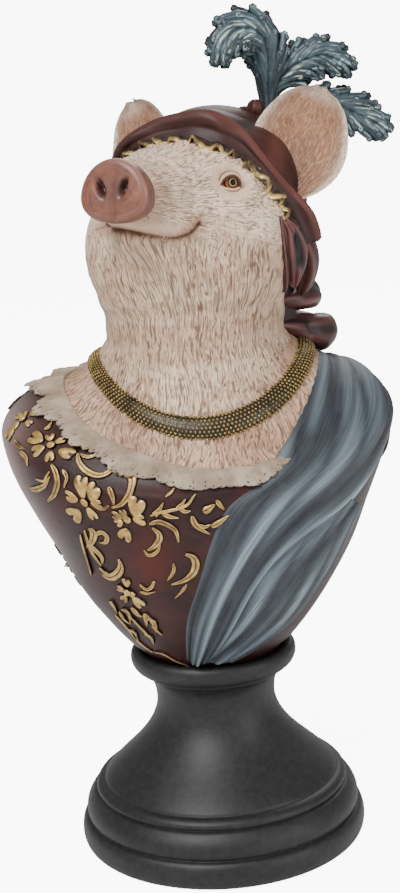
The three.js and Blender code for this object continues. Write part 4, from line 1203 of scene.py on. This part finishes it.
# %% Sash
sash_paint, t, shader = coat("sash_paint", 0.5, 0.0, 0.4)
sash_flow = put(t, "ShaderNodeUVMap", uv_map="flow").outputs[0]
broad = use(t, streaks, Flow=sash_flow, Across=0.55, Along=0.02, Soft=0.7)
fine = use(t, streaks, Flow=sash_flow, Across=1.9, Along=0.035, Soft=0.5)
cloud = use(t, mottle, Size=12.0, Detail=3.0, Sharp=0.6)
base = tint(t, cloud, (0.024, 0.029, 0.036), (0.008, 0.010, 0.014))
base = tint(t, sum_up(t, "MULTIPLY", fine, 0.4), base, (0.055, 0.070, 0.084))
# Painted highlight on the fold tops, broken by broad streaks.
base = tint(t, sum_up(t, "MULTIPLY", mark(t, "high"),
                      sum_up(t, "ADD", 0.35, sum_up(t, "MULTIPLY", broad, 0.6)), True),
            base, (0.115, 0.15, 0.175))
# Painted highlight along the crests and the upper layer's edge.
base = tint(t, sum_up(t, "MULTIPLY", mark(t, "edge"),
                      sum_up(t, "ADD", 0.3, sum_up(t, "MULTIPLY", fine, 0.7)), True),
            base, (0.28, 0.37, 0.41))
# Painted shade in the valleys.
base = tint(t, mark(t, "deep"), base, (0.010, 0.013, 0.018))
t.links.new(base, shader.inputs["Base Color"])
relief(t, shader, fine, 0.25, 0.3)

print("sash paint:", len(t.nodes), "nodes")

# %% [markdown]
# The sash is two bent slabs that follow the shoulders' loft, each between two edges given as
# angle and row. Its folds run lengthwise, with sharp valleys and smaller folds between.

# %% Folds of the sash
INNER = [[104, 7.2], [75, 9.6], [45, 11.4], [15, 12.5], [-19, 12.6], [-45, 12.1], [-60, 11.3], [-72, 9.8],
         [-80, 8], [-87.5, 6.2], [-95, 4.8], [-102, 3.6], [-108.5, 1.9]]
OUTER = [[84, 4], [66, 6.1], [44, 8.3], [24, 9.0], [6, 8.6], [-10, 7.6], [-23, 6.8], [-36, 6.2], [-50, 5.9],
         [-62, 5.4], [-71, 4.6], [-80, 3.2], [-92, 1.8]]
UNDER = [[-40, 6.6], [-56, 5.9], [-70, 5], [-79, 4], [-88, 2.9], [-96, 1.7]]
LOWER = [[-22, 5.9], [-24, 5], [-28, 4], [-38, 3], [-55, 2.2], [-72, 1.6]]


def fold_height(U, V, seed):
    """Broad folds with sharp valleys, and smaller ones that run in and out of them."""
    bend = 0.22 * np.sin(4.2 * V + seed) + 0.1 * np.sin(9 * V + 2 * seed)
    broad = np.abs(np.sin(np.pi * (1.9 * U + 0.75 * V + bend + 0.1))) ** 0.7
    small = np.abs(np.sin(np.pi * (4.6 * U - 1.5 * V + bend + 0.35 * np.sin(6 * V + seed)))) ** 0.8
    share = 0.25 + 0.3 * np.sin(3.1 * V + 2.2 * U + seed) ** 2
    return (1 - share) * broad + share * small


def draped(start, end, thick, folds, seed):
    def point(u, v, w):
        a, b = smooth_table(start, v), smooth_table(end, v)
        lift = thick + 1.2 * folds * fold_height(u, v, seed) * np.sin(np.pi * u) ** 0.5
        p = a + (b - a) * u[..., None]
        return torso(p[..., 0], p[..., 1], np.where(w > 0.5, -0.5 + (lift + 0.5) * (2 * w - 1), -0.5))
    return point


sash = Casting("high", "deep", "edge")
for start, end, thick, folds, seed, along, around in ((INNER, OUTER, 1.2, 1.8, 0.0, 220, 116),
                                                      (UNDER, LOWER, 0.7, 1.3, 2.0, 110, 84)):
    rings, U, V, W = slab(draped(start, end, thick, folds, seed), along, around)
    height = fold_height(U, V, seed)
    # Painted highlight along an edge of the upper layer and the fold crests; painted shade in the valleys.
    crest = np.exp(-((U - 0.93) / 0.05) ** 2) * step(0.5, 0.62, V) * step(1.0, 0.9, V) * (seed == 0)
    crest = (crest + 0.9 * np.exp(-((height - 0.97) / 0.05) ** 2) * step(0.25, 0.5, V)
             * (0.5 + 0.5 * np.sin(7 * V + 5 * U + seed)))
    sash.rings(rings, flow=(seamed(U, 45), seamed(V, 180)), high=step(0.55, 1.0, height),
               deep=0.9 * step(0.5, 0.1, height),
               edge=np.clip(crest, 0, 1))
sash.piece("sash", sash_paint)

# %% [markdown]
# Lace edges the low neckline. It stands off the bodice in waves, and its hem is scalloped.

# %% Lace
lace_paint, t, shader = coat("lace_paint", 0.65, 0.0, 0.3)
lace_flow = put(t, "ShaderNodeUVMap", uv_map="flow").outputs[0]
pores = put(t, "ShaderNodeTexVoronoi", {"Vector": lace_flow, "Scale": 0.55, "Randomness": 0.85},
            voronoi_dimensions="2D", feature="F1").outputs["Distance"]
pores = sum_up(t, "SUBTRACT", 1.0, ramp(t, pores, 0.08, 0.2))
cloud = use(t, mottle, Size=7.0, Detail=4.0, Sharp=0.6)
base = tint(t, cloud, (0.42, 0.345, 0.25), (0.26, 0.20, 0.135))
base = tint(t, mark(t, "shade"), base, (0.22, 0.14, 0.10))
base = tint(t, sum_up(t, "MULTIPLY", pores, mark(t, "pierced")), base, (0.05, 0.028, 0.022))
t.links.new(base, shader.inputs["Base Color"])
relief(t, shader, sum_up(t, "SUBTRACT", 1.0, pores), 0.5, 0.3)

turns = 1200
angle = 360 * np.arange(turns) / turns - 180
section = np.array([[0, 0.8], [0.1, 1.2], [0.35, 1.4], [0.65, 1.7], [0.9, 2.0], [1.0, 1.7], [0.97, 1.1],
                    [0.6, 0.6], [0.3, -1.5], [0.0, -1.5]])
section = smooth_table(section, np.linspace(0, 1, 28))
a = np.radians(angle)
under_sash = step(-66, -56, angle) * step(108, 98, angle)
loose = 0.35 + 0.65 * step(-120, -142, angle) + 0.3 * step(60, 120, angle)
phase = a * 17 + 0.9 * np.sin(3 * a) + 0.5 * np.sin(7 * a + 1)
waves = 1 - 2 * np.abs((phase / np.pi) % 2 - 1)
fine = a * 52 + 1.6 * np.sin(9 * a) + 1.1 * np.sin(23 * a + 2)
scallop = 0.2 * np.abs(np.sin(fine)) ** 0.7 + loose * 0.5 * (0.5 + 0.5 * waves) - 0.15
scallop = scallop + 0.05 * np.abs(np.sin(fine * 3.1)) ** 0.7
top = lace_top(angle)
hem = np.interp(angle, HEM[:, 0], HEM[:, 1]) - scallop * (1 - 0.7 * under_sash)
open_ = section[:, :1]
row = top + (hem - top) * open_
flare = open_ * (0.5 + 1.5 * loose * waves + 0.35 * np.sin(fine)) * (section[:, 1:] > 0)
out = (section[:, 1:] + flare) * (1 - 0.8 * under_sash * (section[:, 1:] > 0))
lace_points = torso(np.broadcast_to(angle, row.shape), row, out)
lace = Casting("shade", "pierced")
lace.rings(np.swapaxes(lace_points, 0, 1), looped=True,
           flow=(np.repeat(np.arange(turns)[:, None] * 350 / turns, 29, 1),
                 np.repeat(np.linspace(0, 10, 29)[None], turns, 0)),
           shade=(0.5 * step(0.2, -0.8, waves) * np.ones_like(open_)).T,
           pierced=(step(0.45, 0.75, open_) * np.ones_like(row)).T)
lace.piece("lace", lace_paint)

# %% [markdown]
# The necklace is a band packed with tiny seed beads, gilt over black.

# %% Necklace
BAND_ROW, BAND_HALF = 13.15, 0.27       # the row of the shoulders it lies on, and half its width in rows
turns = 300
angle = 360 * np.arange(turns) / turns - 180
bend = 2 * np.pi * np.arange(16) / 16
cord_points = torso(angle[:, None] + 0 * bend, BAND_ROW + 0.26 * np.cos(bend) + 0 * angle[:, None],
                    0.2 + 1.4 * np.sin(bend) + 0 * angle[:, None])
necklace_paint, t, shader = coat("necklace_paint", 0.4, 0.1, 0.4)
cloud = use(t, mottle, Size=4.0, Detail=3.0, Sharp=0.6)
t.links.new(tint(t, cloud, (0.006, 0.005, 0.005), (0.014, 0.011, 0.008)), shader.inputs["Base Color"])
choker = Casting()
choker.rings(cord_points, looped=True)
choker.piece("necklace_band", necklace_paint)

# %% [markdown]
# Brocade is carved over the bodice: flowers with notched petals, C-scrolls, twigs and leaves. They
# stand about a millimetre proud. Gold was rubbed over their tops only, which leaves a dark line
# around each. The front ones are placed from the photograph, the others are plainer.

# %% Ornament on the shoulders
gilt_paint, t, shader = coat("gilt_paint", 0.4, 0.0, 0.5)
shader.inputs["Metallic"].default_value = 0.55
cloud = use(t, mottle, Size=2.6, Detail=4.0, Sharp=0.7)
wear = use(t, mottle, Size=9.0, Detail=2.0, Sharp=0.5)
gold = tint(t, cloud, (0.62, 0.41, 0.135), (0.36, 0.21, 0.06))
gold = tint(t, sum_up(t, "MULTIPLY", ramp(t, wear, 0.72, 1.0), 0.6), gold, (0.10, 0.05, 0.03))
base = tint(t, ramp(t, mark(t, "gilt"), 0.42, 0.72), (0.007, 0.005, 0.005), gold)
t.links.new(base, shader.inputs["Base Color"])
relief(t, shader, cloud, 0.3, 0.3)
brocade = Casting("gilt")


def grain(angle, row):
    """Millimetres to a degree and to a row at spots of the shoulders."""
    here = torso(angle, row)
    return (np.linalg.norm(torso(angle + 1, row) - here, axis=-1),
            np.linalg.norm(torso(angle, row + 0.05) - here, axis=-1) / 0.05)


def dome(angle, row, turn, length, width, high=1.2, notch=0.3, narrow=0.5, crease=0.5):
    """A raised petal, `turn` radians from level, narrower at its root and notched at its tip."""
    around = 2 * np.pi * np.arange(22) / 22
    edge = 1 - notch * np.exp(-(((around + np.pi) % (2 * np.pi) - np.pi) / 0.42) ** 2)
    scale, out, gilt = np.array([[0.8, -1.1, 0], [1.04, -0.7, 0], [1.02, 0.3, 0], [0.95, 0.72, 0.15],
                                 [0.86, 0.9, 0.75],
                                 [0.66, 1.05, 1], [0.4, 1.1, 1], [0.15, 1.1, 1]]).T[..., None]
    x = length * scale * edge * np.cos(around)
    y = width * scale * edge * np.sin(around) * (1 - narrow * (0.5 - 0.5 * np.cos(around)))
    groove = np.exp(-(y / (0.17 * width)) ** 2) * step(-0.2 * length, 0.5 * length, x) * (scale < 0.93)
    per_degree, per_row = grain(angle, row)
    c, s = math.cos(turn), math.sin(turn)
    brocade.rings(torso(angle + (x * c - y * s) / per_degree, row + (x * s + y * c) / per_row,
                        high * out - crease * groove), gilt=gilt - 0.75 * groove * (crease > 0))


WIDTHS = {"scroll": [0.35, 0.8, 1.0, 1.0, 0.9, 0.6, 0.25], "leaf": [0.35, 0.95, 1.0, 0.75, 0.45, 0.12],
          "twig": [0.7, 1, 1, 0.9, 0.6], "thorn": [1.0, 0.8, 0.5, 0.12]}


def vine(spots, wide, shape="scroll", high=1.1):
    """A raised scroll or leaf through spots (angle, row), with a cut along its middle."""
    n = 10 + 4 * len(spots)
    v = np.linspace(0, 1, n)
    line, half = smooth_table(spots, v), smooth_table(WIDTHS[shape], v)[:, None] * wide / 2
    per_degree, per_row = grain(*line.T)
    way = unit((smooth_table(spots, v + 1e-3) - smooth_table(spots, v - 1e-3))
               * np.stack([per_degree, per_row], -1))
    a, b, gilt = np.array([[-1, -0.9, 0], [-1.03, 0.25, 0], [-0.86, 0.75, 0.2], [-0.6, 1, 1], [-0.3, 1, 1],
                           [0, 0.7, 0.3],
                           [0.3, 1, 1], [0.6, 1, 1], [0.86, 0.75, 0.2], [1.03, 0.25, 0], [1, -0.9, 0],
                           [0, -0.9, 0]]).T
    if wide < 1.3:
        b, gilt = b + 0.3 * (a == 0) * (b > 0), np.where((a == 0) & (b > 0), 1, gilt)
    x, y = -way[:, 1:] * a * half, way[:, :1] * a * half
    brocade.rings(torso(line[:, :1] + x / per_degree[:, None], line[:, 1:] + y / per_row[:, None], b * high),
                  gilt=gilt * np.ones((n, 1)))


def flower(centre, petals, boss=1.5):
    """Petals around a centre, each with its middle's angle and row and its distance in mm."""
    per = np.array(grain(*centre))
    for p in petals:
        d = (np.array(p[:2]) - centre) * per
        way, far = math.atan2(d[1], d[0]), min(math.hypot(*d), 1.15 * p[2])
        size = 0.58 * p[2]
        dome(centre[0] + far * math.cos(way) / per[0], centre[1] + far * math.sin(way) / per[1], way,
             size, size * (p[3] if len(p) > 3 else 1))
    dome(*centre, 0, boss, boss, 1.7, 0, 0, 0)
    dome(*centre, 0, boss * 0.45, boss * 0.45, 2.3, 0, 0, 0)


print("brocade paint:", len(t.nodes), "nodes")

# %% [markdown]
# Flowers and scrolls of the front are listed by their place in the photograph, in pixels, read
# off one after the other: the middle of each flower with its petals, and the line that
# each scroll, leaf, twig or thorn follows, with its width.

# %% Flowers and scrolls of the front
FLOWERS = (
    ((24.7, 420.2), ((37.5, 413.5, 1.1), (17.2, 427), (32.2, 426.2), (20.2, 418), (24.7, 416.5, 1.3),
                     (12, 433, 0.9))),
    ((52.5, 446.5), ((39, 451, 1.1), (51, 458.5), (67.5, 454), (61.5, 442), (51, 437.5, 1.2), (36, 439))),
    ((86.2, 501.2), ((81.7, 484), (97.5, 488.5), (98.2, 503.5), (93, 512.5), (75, 517), (72.7, 496))),
    ((128.2, 517.7), ((139.5, 502), (140.2, 518.5, 1.1), (126, 533.5), (117.7, 514.8), (120, 521.5),
                      (124.5, 512.5))),
    ((129, 590.5), ((127.5, 580), (122.2, 587.5), (132.7, 592.6, 0.9), (139.5, 601), (124.5, 599.5))),
)
SCROLLS = (
    (((79, 454), (80, 463), (88, 472), (99, 476), (109, 473), (113, 466), (109, 461)), 2.0, "scroll"),
    (((81, 455), (89, 458), (97, 455), (98, 450)), 1.5, "leaf"),
    (((116, 475), (122, 472), (129, 474), (133, 482), (130, 494), (123, 503), (113, 507)), 2.2, "scroll"),
    (((110, 487), (113, 496), (115, 504)), 2.0, "leaf"),
    (((53, 465), (57, 473), (59, 482), (56, 493), (50, 500)), 2.2, "scroll"),
    (((32, 488), (39, 488), (47, 484), (52, 476)), 1.9, "leaf"),
    (((38, 478), (46, 480), (51, 472)), 0.8, "twig"),
    (((90, 527), (95, 532), (93, 541), (88, 546)), 2.6, "leaf"),
    (((96, 535), (102, 531), (108, 535), (107, 541), (101, 541)), 1.6, "scroll"),
    (((86, 529), (89, 539), (93, 550), (99, 559), (103, 564)), 1.3, "scroll"),
    (((82, 534), (84, 543), (88, 556), (93, 573)), 0.8, "twig"),
    (((91, 543), (98, 550), (103, 556), (104, 562)), 2.4, "leaf"),
    (((104, 573), (111, 576), (118, 573), (122, 566), (120, 558)), 2.8, "scroll"),
    (((101, 566), (106, 571), (112, 574)), 1.2, "twig"),
    (((151, 515), (160, 512), (171, 510), (183, 507), (190, 502), (196, 494)), 0.9, "twig"),
    (((155, 514), (160, 509), (164, 502)), 1.9, "thorn"),
    (((163, 513), (171, 516), (179, 517)), 1.5, "leaf"),
    (((178, 508), (182, 504), (186, 499)), 1.5, "thorn"),
    (((180, 509), (186, 511), (191, 510)), 1.2, "leaf"),
    (((150, 523), (159, 521), (168, 524), (176, 530), (179, 541)), 1.8, "scroll"),
    (((153, 527), (159, 532), (160, 538), (155, 545), (148, 549)), 1.9, "scroll"),
    (((145, 549), (150, 554), (158, 550), (161, 542)), 1.2, "scroll"),
    (((192, 515), (195, 523), (202, 529), (210, 533)), 1.9, "leaf"),
    (((199, 524), (205, 526), (211, 523)), 1.3, "leaf"),
    (((211, 526), (220, 521), (229, 514)), 1.8, "leaf"),
    (((203, 511), (209, 508), (215, 504)), 2.2, "leaf"),
    (((216, 500), (220, 505), (224, 509)), 1.4, "leaf"),
    (((186, 553), (193, 556), (196, 563), (193, 572), (184, 579), (172, 583)), 2.4, "scroll"),
    (((174, 562), (174, 570), (168, 579)), 1.1, "scroll"),
    (((187, 583), (182, 590), (175, 597)), 1.0, "leaf"),
    (((123, 608), (128, 610), (131, 615), (132, 622)), 1.8, "leaf"),
    (((130, 613), (138, 622), (144, 628), (149, 633)), 1.0, "twig"),
    (((145, 612), (150, 617), (157, 620)), 2.0, "leaf"),
    (((145, 613), (147, 618), (148, 624)), 1.6, "leaf"),
    (((153, 624), (158, 629), (163, 633)), 1.1, "leaf"),
    (((117, 613), (123, 620), (130, 628), (137, 637)), 1.5, "leaf"),
    (((130, 628), (136, 631), (140, 639)), 1.5, "leaf"),
    (((138, 638), (146, 645), (154, 650)), 1.2, "leaf"),
    (((156, 650), (166, 653), (179, 660), (190, 665)), 0.6, "twig"),
    (((46, 431), (50, 428), (53, 423)), 1.4, "leaf"),
    (((133, 606), (138, 612), (143, 615)), 2.2, "leaf"),
    (((152, 618), (156, 624), (157, 630)), 1.8, "leaf"),
    (((121, 610), (125, 617), (131, 622)), 1.6, "leaf"),
    (((112, 600), (116, 606), (119, 612)), 1.6, "thorn"),
    (((146, 632), (152, 636), (155, 642)), 1.5, "leaf"),
    (((141, 583), (147, 588), (152, 586), (155, 580)), 1.2, "twig"),
    (((141, 590), (148, 592), (156, 590)), 1.0, "leaf"),
    (((96, 505), (104, 508), (110, 505)), 1.0, "twig"),
    (((64, 470), (68, 478), (66, 487)), 1.4, "leaf"),
    (((22, 452), (28, 458), (30, 466)), 1.6, "leaf"),
    (((16, 441), (21, 447), (27, 450)), 1.4, "leaf"),
    (((166, 497), (172, 492), (176, 486)), 0.9, "leaf"),
)
SLEEVE = (((16, 8.5), (11, 8.3), (7, 7.8), (8, 7.3)), ((20, 7.9), (14, 7.6), (9, 7.0)),
          ((3, 7.7), (0, 7.2), (4, 6.8)))
print(len(FLOWERS), "flowers and", len(SCROLLS), "scrolls, leaves and twigs")

# %% [markdown]
# Each is set on the shoulders where the camera's ray through its pixel meets them. The sleeve,
# the sides and the back, which the photograph barely shows, get a few plain sprays.

# %% Ornament set on the dress
for centre, petals in FLOWERS:
    at = spot(np.array([centre, *(p[:2] for p in petals)], float))
    flower(at[0], [(*q, max(3.4, 0.36 * math.dist(p[:2], centre)), *p[2:]) for q, p in zip(at[1:], petals)])
for pixels, wide, shape in SCROLLS:
    vine(spot(np.array(pixels, float)), 1.35 * wide, shape)
for spots in SLEEVE:
    vine(spots, 2.6, "leaf", 2.0)


def sprig(angle, row, size, turn):
    """A plain spray for the sides and back: one flower between two scrolls, with leaves."""
    per_degree, per_row = grain(angle, row)

    def at(far, way):
        return (angle + size * far * math.cos(turn + way) / per_degree,
                row + size * far * math.sin(turn + way) / per_row)
    flower((angle, row), [(*at(0.55, 1.257 * k), 0.55 * size) for k in range(5)], 0.24 * size)
    for hand in (1, -1):
        vine([at(1.15, 0.35 * hand), at(1.75, 0.1 * hand), at(2.2, 0.3 * hand), at(2.25, 0.62 * hand),
              at(1.85, 0.72 * hand)],
             1.7)
        vine([at(1.1, 2.4 * hand), at(1.6, 2.5 * hand), at(2.0, 2.8 * hand)], 1.7, "leaf")


for place in ((166, 8.9, 5.0, 1.3), (150, 5.6, 5.0, -1.9), (136, 9.4, 5.2, 0.2), (114, 6.7, 5.0, 2.6),
              (-176, 4.6, 4.6, 1.5),
              (128, 3.4, 4.0, 1.2), (66, 3.4, 4.4, 0.4), (30, 5.3, 4.6, -2.4), (46, 2.5, 3.6, 1.5)):
    sprig(*place)
brocade.piece("brocade", gilt_paint)

# %% [markdown]
# The necklace is packed with rows of seed beads. They are one bead repeated by Geometry Nodes at
# staggered places around the band, each a little larger or smaller than the next.

# %% Seed beads
bead_paint, t, shader = coat("bead_paint", 0.27, 0.0, 0.5)
shader.inputs["Metallic"].default_value = 0.75
tone = mark(t, "tone")
cloud = use(t, mottle, Size=14.0, Detail=2.0, Sharp=0.8)
base = tint(t, tone, (0.22, 0.15, 0.05), (0.03, 0.022, 0.012))
base = tint(t, sum_up(t, "MULTIPLY", cloud, 0.45), base, (0.55, 0.38, 0.12))
t.links.new(base, shader.inputs["Base Color"])

beading = bpy.data.node_groups.new("beading", "GeometryNodeTree")
face = beading.interface
for label, kind, value in (("Places", "NodeSocketGeometry", None), ("Bead size", NUMBER, 0.0014),
                           ("Size spread", NUMBER, 0.14),
                           ("Seed", "NodeSocketInt", 5), ("Bead paint", "NodeSocketMaterial", None)):
    socket = face.new_socket(label, in_out="INPUT", socket_type=kind)
    if value is not None:
        socket.default_value = value
face.new_socket("Beads", in_out="OUTPUT", socket_type="NodeSocketGeometry")
given, made = put(beading, "NodeGroupInput").outputs, put(beading, "NodeGroupOutput")
bead = put(beading, "GeometryNodeMeshUVSphere", {"Segments": 7, "Rings": 5, "Radius": 0.5}).outputs[0]
bead = put(beading, "GeometryNodeSetShadeSmooth", {"Geometry": bead}).outputs[0]
least = put(beading, "ShaderNodeMath", {0: 1.0, 1: given["Size spread"]}, operation="SUBTRACT").outputs[0]
most = put(beading, "ShaderNodeMath", {0: 1.0, 1: given["Size spread"]}, operation="ADD").outputs[0]
vary = put(beading, "FunctionNodeRandomValue", {"Min": least, "Max": most, "Seed": given["Seed"]},
           data_type="FLOAT")
size = put(beading, "ShaderNodeMath", {0: [o for o in vary.outputs if o.enabled][0], 1: given["Bead size"]},
           operation="MULTIPLY").outputs[0]
own = put(beading, "GeometryNodeInputNamedAttribute", {"Name": "own_size"}, data_type="FLOAT").outputs[0]
size = put(beading, "ShaderNodeMath", {0: size, 1: own}, operation="MULTIPLY").outputs[0]
dots = put(beading, "GeometryNodeMeshToPoints", {"Mesh": given["Places"]}).outputs[0]
beads = put(beading, "GeometryNodeInstanceOnPoints", {"Points": dots, "Instance": bead,
                                                      "Scale": size}).outputs[0]
shade = put(beading, "FunctionNodeRandomValue", {"Seed": given["Seed"]}, data_type="FLOAT")
beads = put(beading, "GeometryNodeStoreNamedAttribute",
            {"Geometry": beads, "Name": "tone", "Value": [o for o in shade.outputs if o.enabled][0]},
            data_type="FLOAT", domain="INSTANCE").outputs[0]
beads = put(beading, "GeometryNodeRealizeInstances", {"Geometry": beads}).outputs[0]
beads = put(beading, "GeometryNodeSetMaterial",
            {"Geometry": beads, "Material": given["Bead paint"]}).outputs[0]
beading.links.new(beads, made.inputs[0])

bends = np.radians(np.linspace(-12, 172, 90))
arc = torso(np.arange(-170.0, 0, 10)[:, None], BAND_ROW + BAND_HALF * np.cos(bends),
            0.1 + 1.5 * np.sin(bends))
arc = np.r_[0, np.cumsum(np.linalg.norm(np.diff(arc, axis=1), axis=-1).mean(0))]
BEAD_PITCH = 1.22                       # mm from row to row over the band
rows, around = int(round(arc[-1] / BEAD_PITCH)) + 1, 168
k, j = np.meshgrid(np.arange(around), np.arange(rows), indexing="ij")
angle = 360 * (k + 0.5 * (j % 2)) / around - 180 + rng.normal(0, 0.12, k.shape)
bend = np.interp(j * arc[-1] / (rows - 1), arc, bends)
print("bead rows", rows, "band", arc[-1].round(1), "mm")
places = torso(angle, BAND_ROW + BAND_HALF * np.cos(bend), 0.1 + 1.5 * np.sin(bend)).reshape(-1, 3)
own_size = np.ones(len(places))
GEM_PIXEL = [270, 412]                  # one larger gold bead stands out in the photograph
gem = ((to_pixel(places) - GEM_PIXEL) ** 2).sum(-1).argmin()
own_size[gem] = 1.7
thread = bpy.data.meshes.new("bead_places")
thread.from_pydata(((places + [0, 0, SEAT_Z]) / 1000).tolist(), [], [])
thread.attributes.new("own_size", "FLOAT", "POINT").data.foreach_set("value", own_size.astype(np.float32))
strung = bpy.data.objects.new("bead_places", thread)
bpy.context.scene.collection.objects.link(strung)
stringing = strung.modifiers.new("beading", "NODES")
stringing.node_group = beading
sockets = {s.name: s.identifier for s in face.items_tree if s.in_out == "INPUT"}
for label, value in (("Bead size", 0.00108), ("Size spread", 0.14), ("Seed", 5), ("Bead paint", bead_paint)):
    stringing[sockets[label]] = value
finished = bpy.data.meshes.new_from_object(strung.evaluated_get(bpy.context.evaluated_depsgraph_get()))
finished.name = "necklace_beads"
bpy.data.objects.remove(strung)
settle("necklace_beads", finished, "painted_resin")

# %% [markdown]
# The pedestal is turned: a flat foot, a rounded skirt in three steps, a waist and a rolled rim
# with the seat sunk in it. Its paint is a charcoal satin, a little dusty and pitted.

# %% Pedestal
plinth_paint, t, shader = coat("plinth_paint", 0.5, 0.0, 0.4)
cloud = use(t, mottle, Size=22.0, Detail=4.0, Sharp=0.5)
grain = use(t, mottle, Size=1.1, Detail=3.0, Sharp=0.4)
pits = use(t, mottle, Size=2.6, Detail=1.0, Sharp=0.96)
base = tint(t, cloud, (0.013, 0.013, 0.014), (0.008, 0.008, 0.009))
base = tint(t, sum_up(t, "MULTIPLY", grain, 0.35), base, (0.022, 0.021, 0.023))
base = tint(t, sum_up(t, "MULTIPLY", pits, 0.5), base, (0.004, 0.004, 0.004))
t.links.new(base, shader.inputs["Base Color"])
relief(t, shader, grain, 0.12, 0.15)


def bezier(a, b, c, d, count):
    t = np.linspace(0, 1, count, endpoint=False)[:, None]
    a, b, c, d = (np.array(p, float) for p in (a, b, c, d))
    return (1 - t) ** 3 * a + 3 * (1 - t) ** 2 * t * b + 3 * (1 - t) * t * t * c + t ** 3 * d


profile = np.concatenate([
    [[0.3, 0], [25, 0], [50.3, 0]],
    bezier((50.3, 0), (50.8, 0.3), (50.9, 0.35), (51.2, 0.5), 3),
    bezier((51.2, 0.5), (53.8, 1.6), (53.4, 9.4), (50.8, 10.2), 22),
    bezier((50.8, 10.2), (50.1, 10.3), (50.1, 10.4), (50.1, 10.5), 3),
    bezier((50.1, 10.5), (51.6, 12.8), (50.6, 16.8), (47.4, 19.8), 16),
    bezier((47.4, 19.8), (46.2, 20.0), (46.2, 20.0), (46.2, 20.1), 3),
    bezier((46.2, 20.1), (47.2, 20.9), (46.4, 23.2), (43.9, 23.7), 9),
    bezier((43.9, 23.7), (43.2, 23.8), (43.2, 24.0), (43.2, 24.3), 3),
    bezier((43.2, 24.3), (37.2, 31.6), (23.2, 40.2), (21.8, 53), 26),
    bezier((21.8, 53), (21.8, 58.5), (22.7, 61.8), (25.7, 64), 14),
    bezier((25.7, 64), (26.1, 64.4), (26.1, 64.7), (26.1, 65), 3),
    bezier((26.1, 65), (31.5, 65.6), (31.5, 73.2), (28.2, 73.4), 18),
    [[28.2, 73.4], [27.3, 73.3], [26.6, 73], [26.1, 72.6], [25.9, 72.2], [25.9, 69], [12, 69], [0.3, 69]]])
turns = 144
a = 2 * np.pi * np.arange(turns) / turns
rings = np.stack([profile[:, :1] * np.cos(a), profile[:, :1] * np.sin(a),
                  np.repeat(profile[:, 1:], turns, 1) - SEAT_Z], -1)
pedestal = Casting()
pedestal.rings(rings)
pedestal.piece("turned_pedestal", plinth_paint, "plinth")

# %% [markdown]
# A pale floor and a wide soft light, as in a studio tent.

# %% Studio
floor_mesh = bpy.data.meshes.new("floor")
floor_mesh.from_pydata([(-3, -3, 0), (3, -3, 0), (3, 3, 0), (-3, 3, 0)], [], [(0, 1, 2, 3)])
floor = bpy.data.objects.new("floor", floor_mesh)
bpy.context.scene.collection.objects.link(floor)
floor_paint, t, shader = coat("floor_paint", 0.9)
shader.inputs["Base Color"].default_value = (0.93, 0.93, 0.93, 1)
glow = put(t, "ShaderNodeEmission", {0: (1, 1, 1, 1), 1: 8.6})
seen = put(t, "ShaderNodeLightPath").outputs["Is Camera Ray"]
lifted = put(t, "ShaderNodeAddShader", {0: shader.outputs[0], 1: glow.outputs[0]})
t.links.new(put(t, "ShaderNodeMixShader", {0: seen, 1: shader.outputs[0], 2: lifted.outputs[0]}).outputs[0],
            t.nodes["Material Output"].inputs[0])
floor_mesh.materials.append(floor_paint)
floor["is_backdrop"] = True
world = bpy.data.worlds.new("tent")
bpy.context.scene.world = world
world.use_nodes = True
tent = world.node_tree
soft = tent.nodes["Background"]
soft.inputs[0].default_value, soft.inputs[1].default_value = (1, 1, 1, 1), 0.38
bright = put(tent, "ShaderNodeBackground", {0: (1, 1, 1, 1), 1: 9.0})
seen = put(tent, "ShaderNodeLightPath").outputs["Is Camera Ray"]
both = put(tent, "ShaderNodeMixShader", {0: seen, 1: soft.outputs[0], 2: bright.outputs[0]})
tent.links.new(both.outputs[0], tent.nodes["World Output"].inputs[0])
for name, place_at, size, power in (("key", (-0.55, -1.0, 1.25), 0.8, 33), ("fill", (1.1, -0.8, 0.5), 0.8, 8),
                                    ("back", (0.3, 1.1, 1.0), 0.8, 8)):
    lamp = bpy.data.lights.new(name, "AREA")
    lamp.energy, lamp.size = power, size
    holder = bpy.data.objects.new(name, lamp)
    holder.location = place_at
    holder.rotation_euler = (Vector((0, 0, 0.15)) - Vector(place_at)).to_track_quat("-Z", "Y").to_euler()
    bpy.context.scene.collection.objects.link(holder)

# %% [markdown]
# The dressed figurine is measured, and its box is printed.

# %% Measure
low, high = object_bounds()
print("dressed box", [round(v, 4) for v in low], [round(v, 4) for v in high])
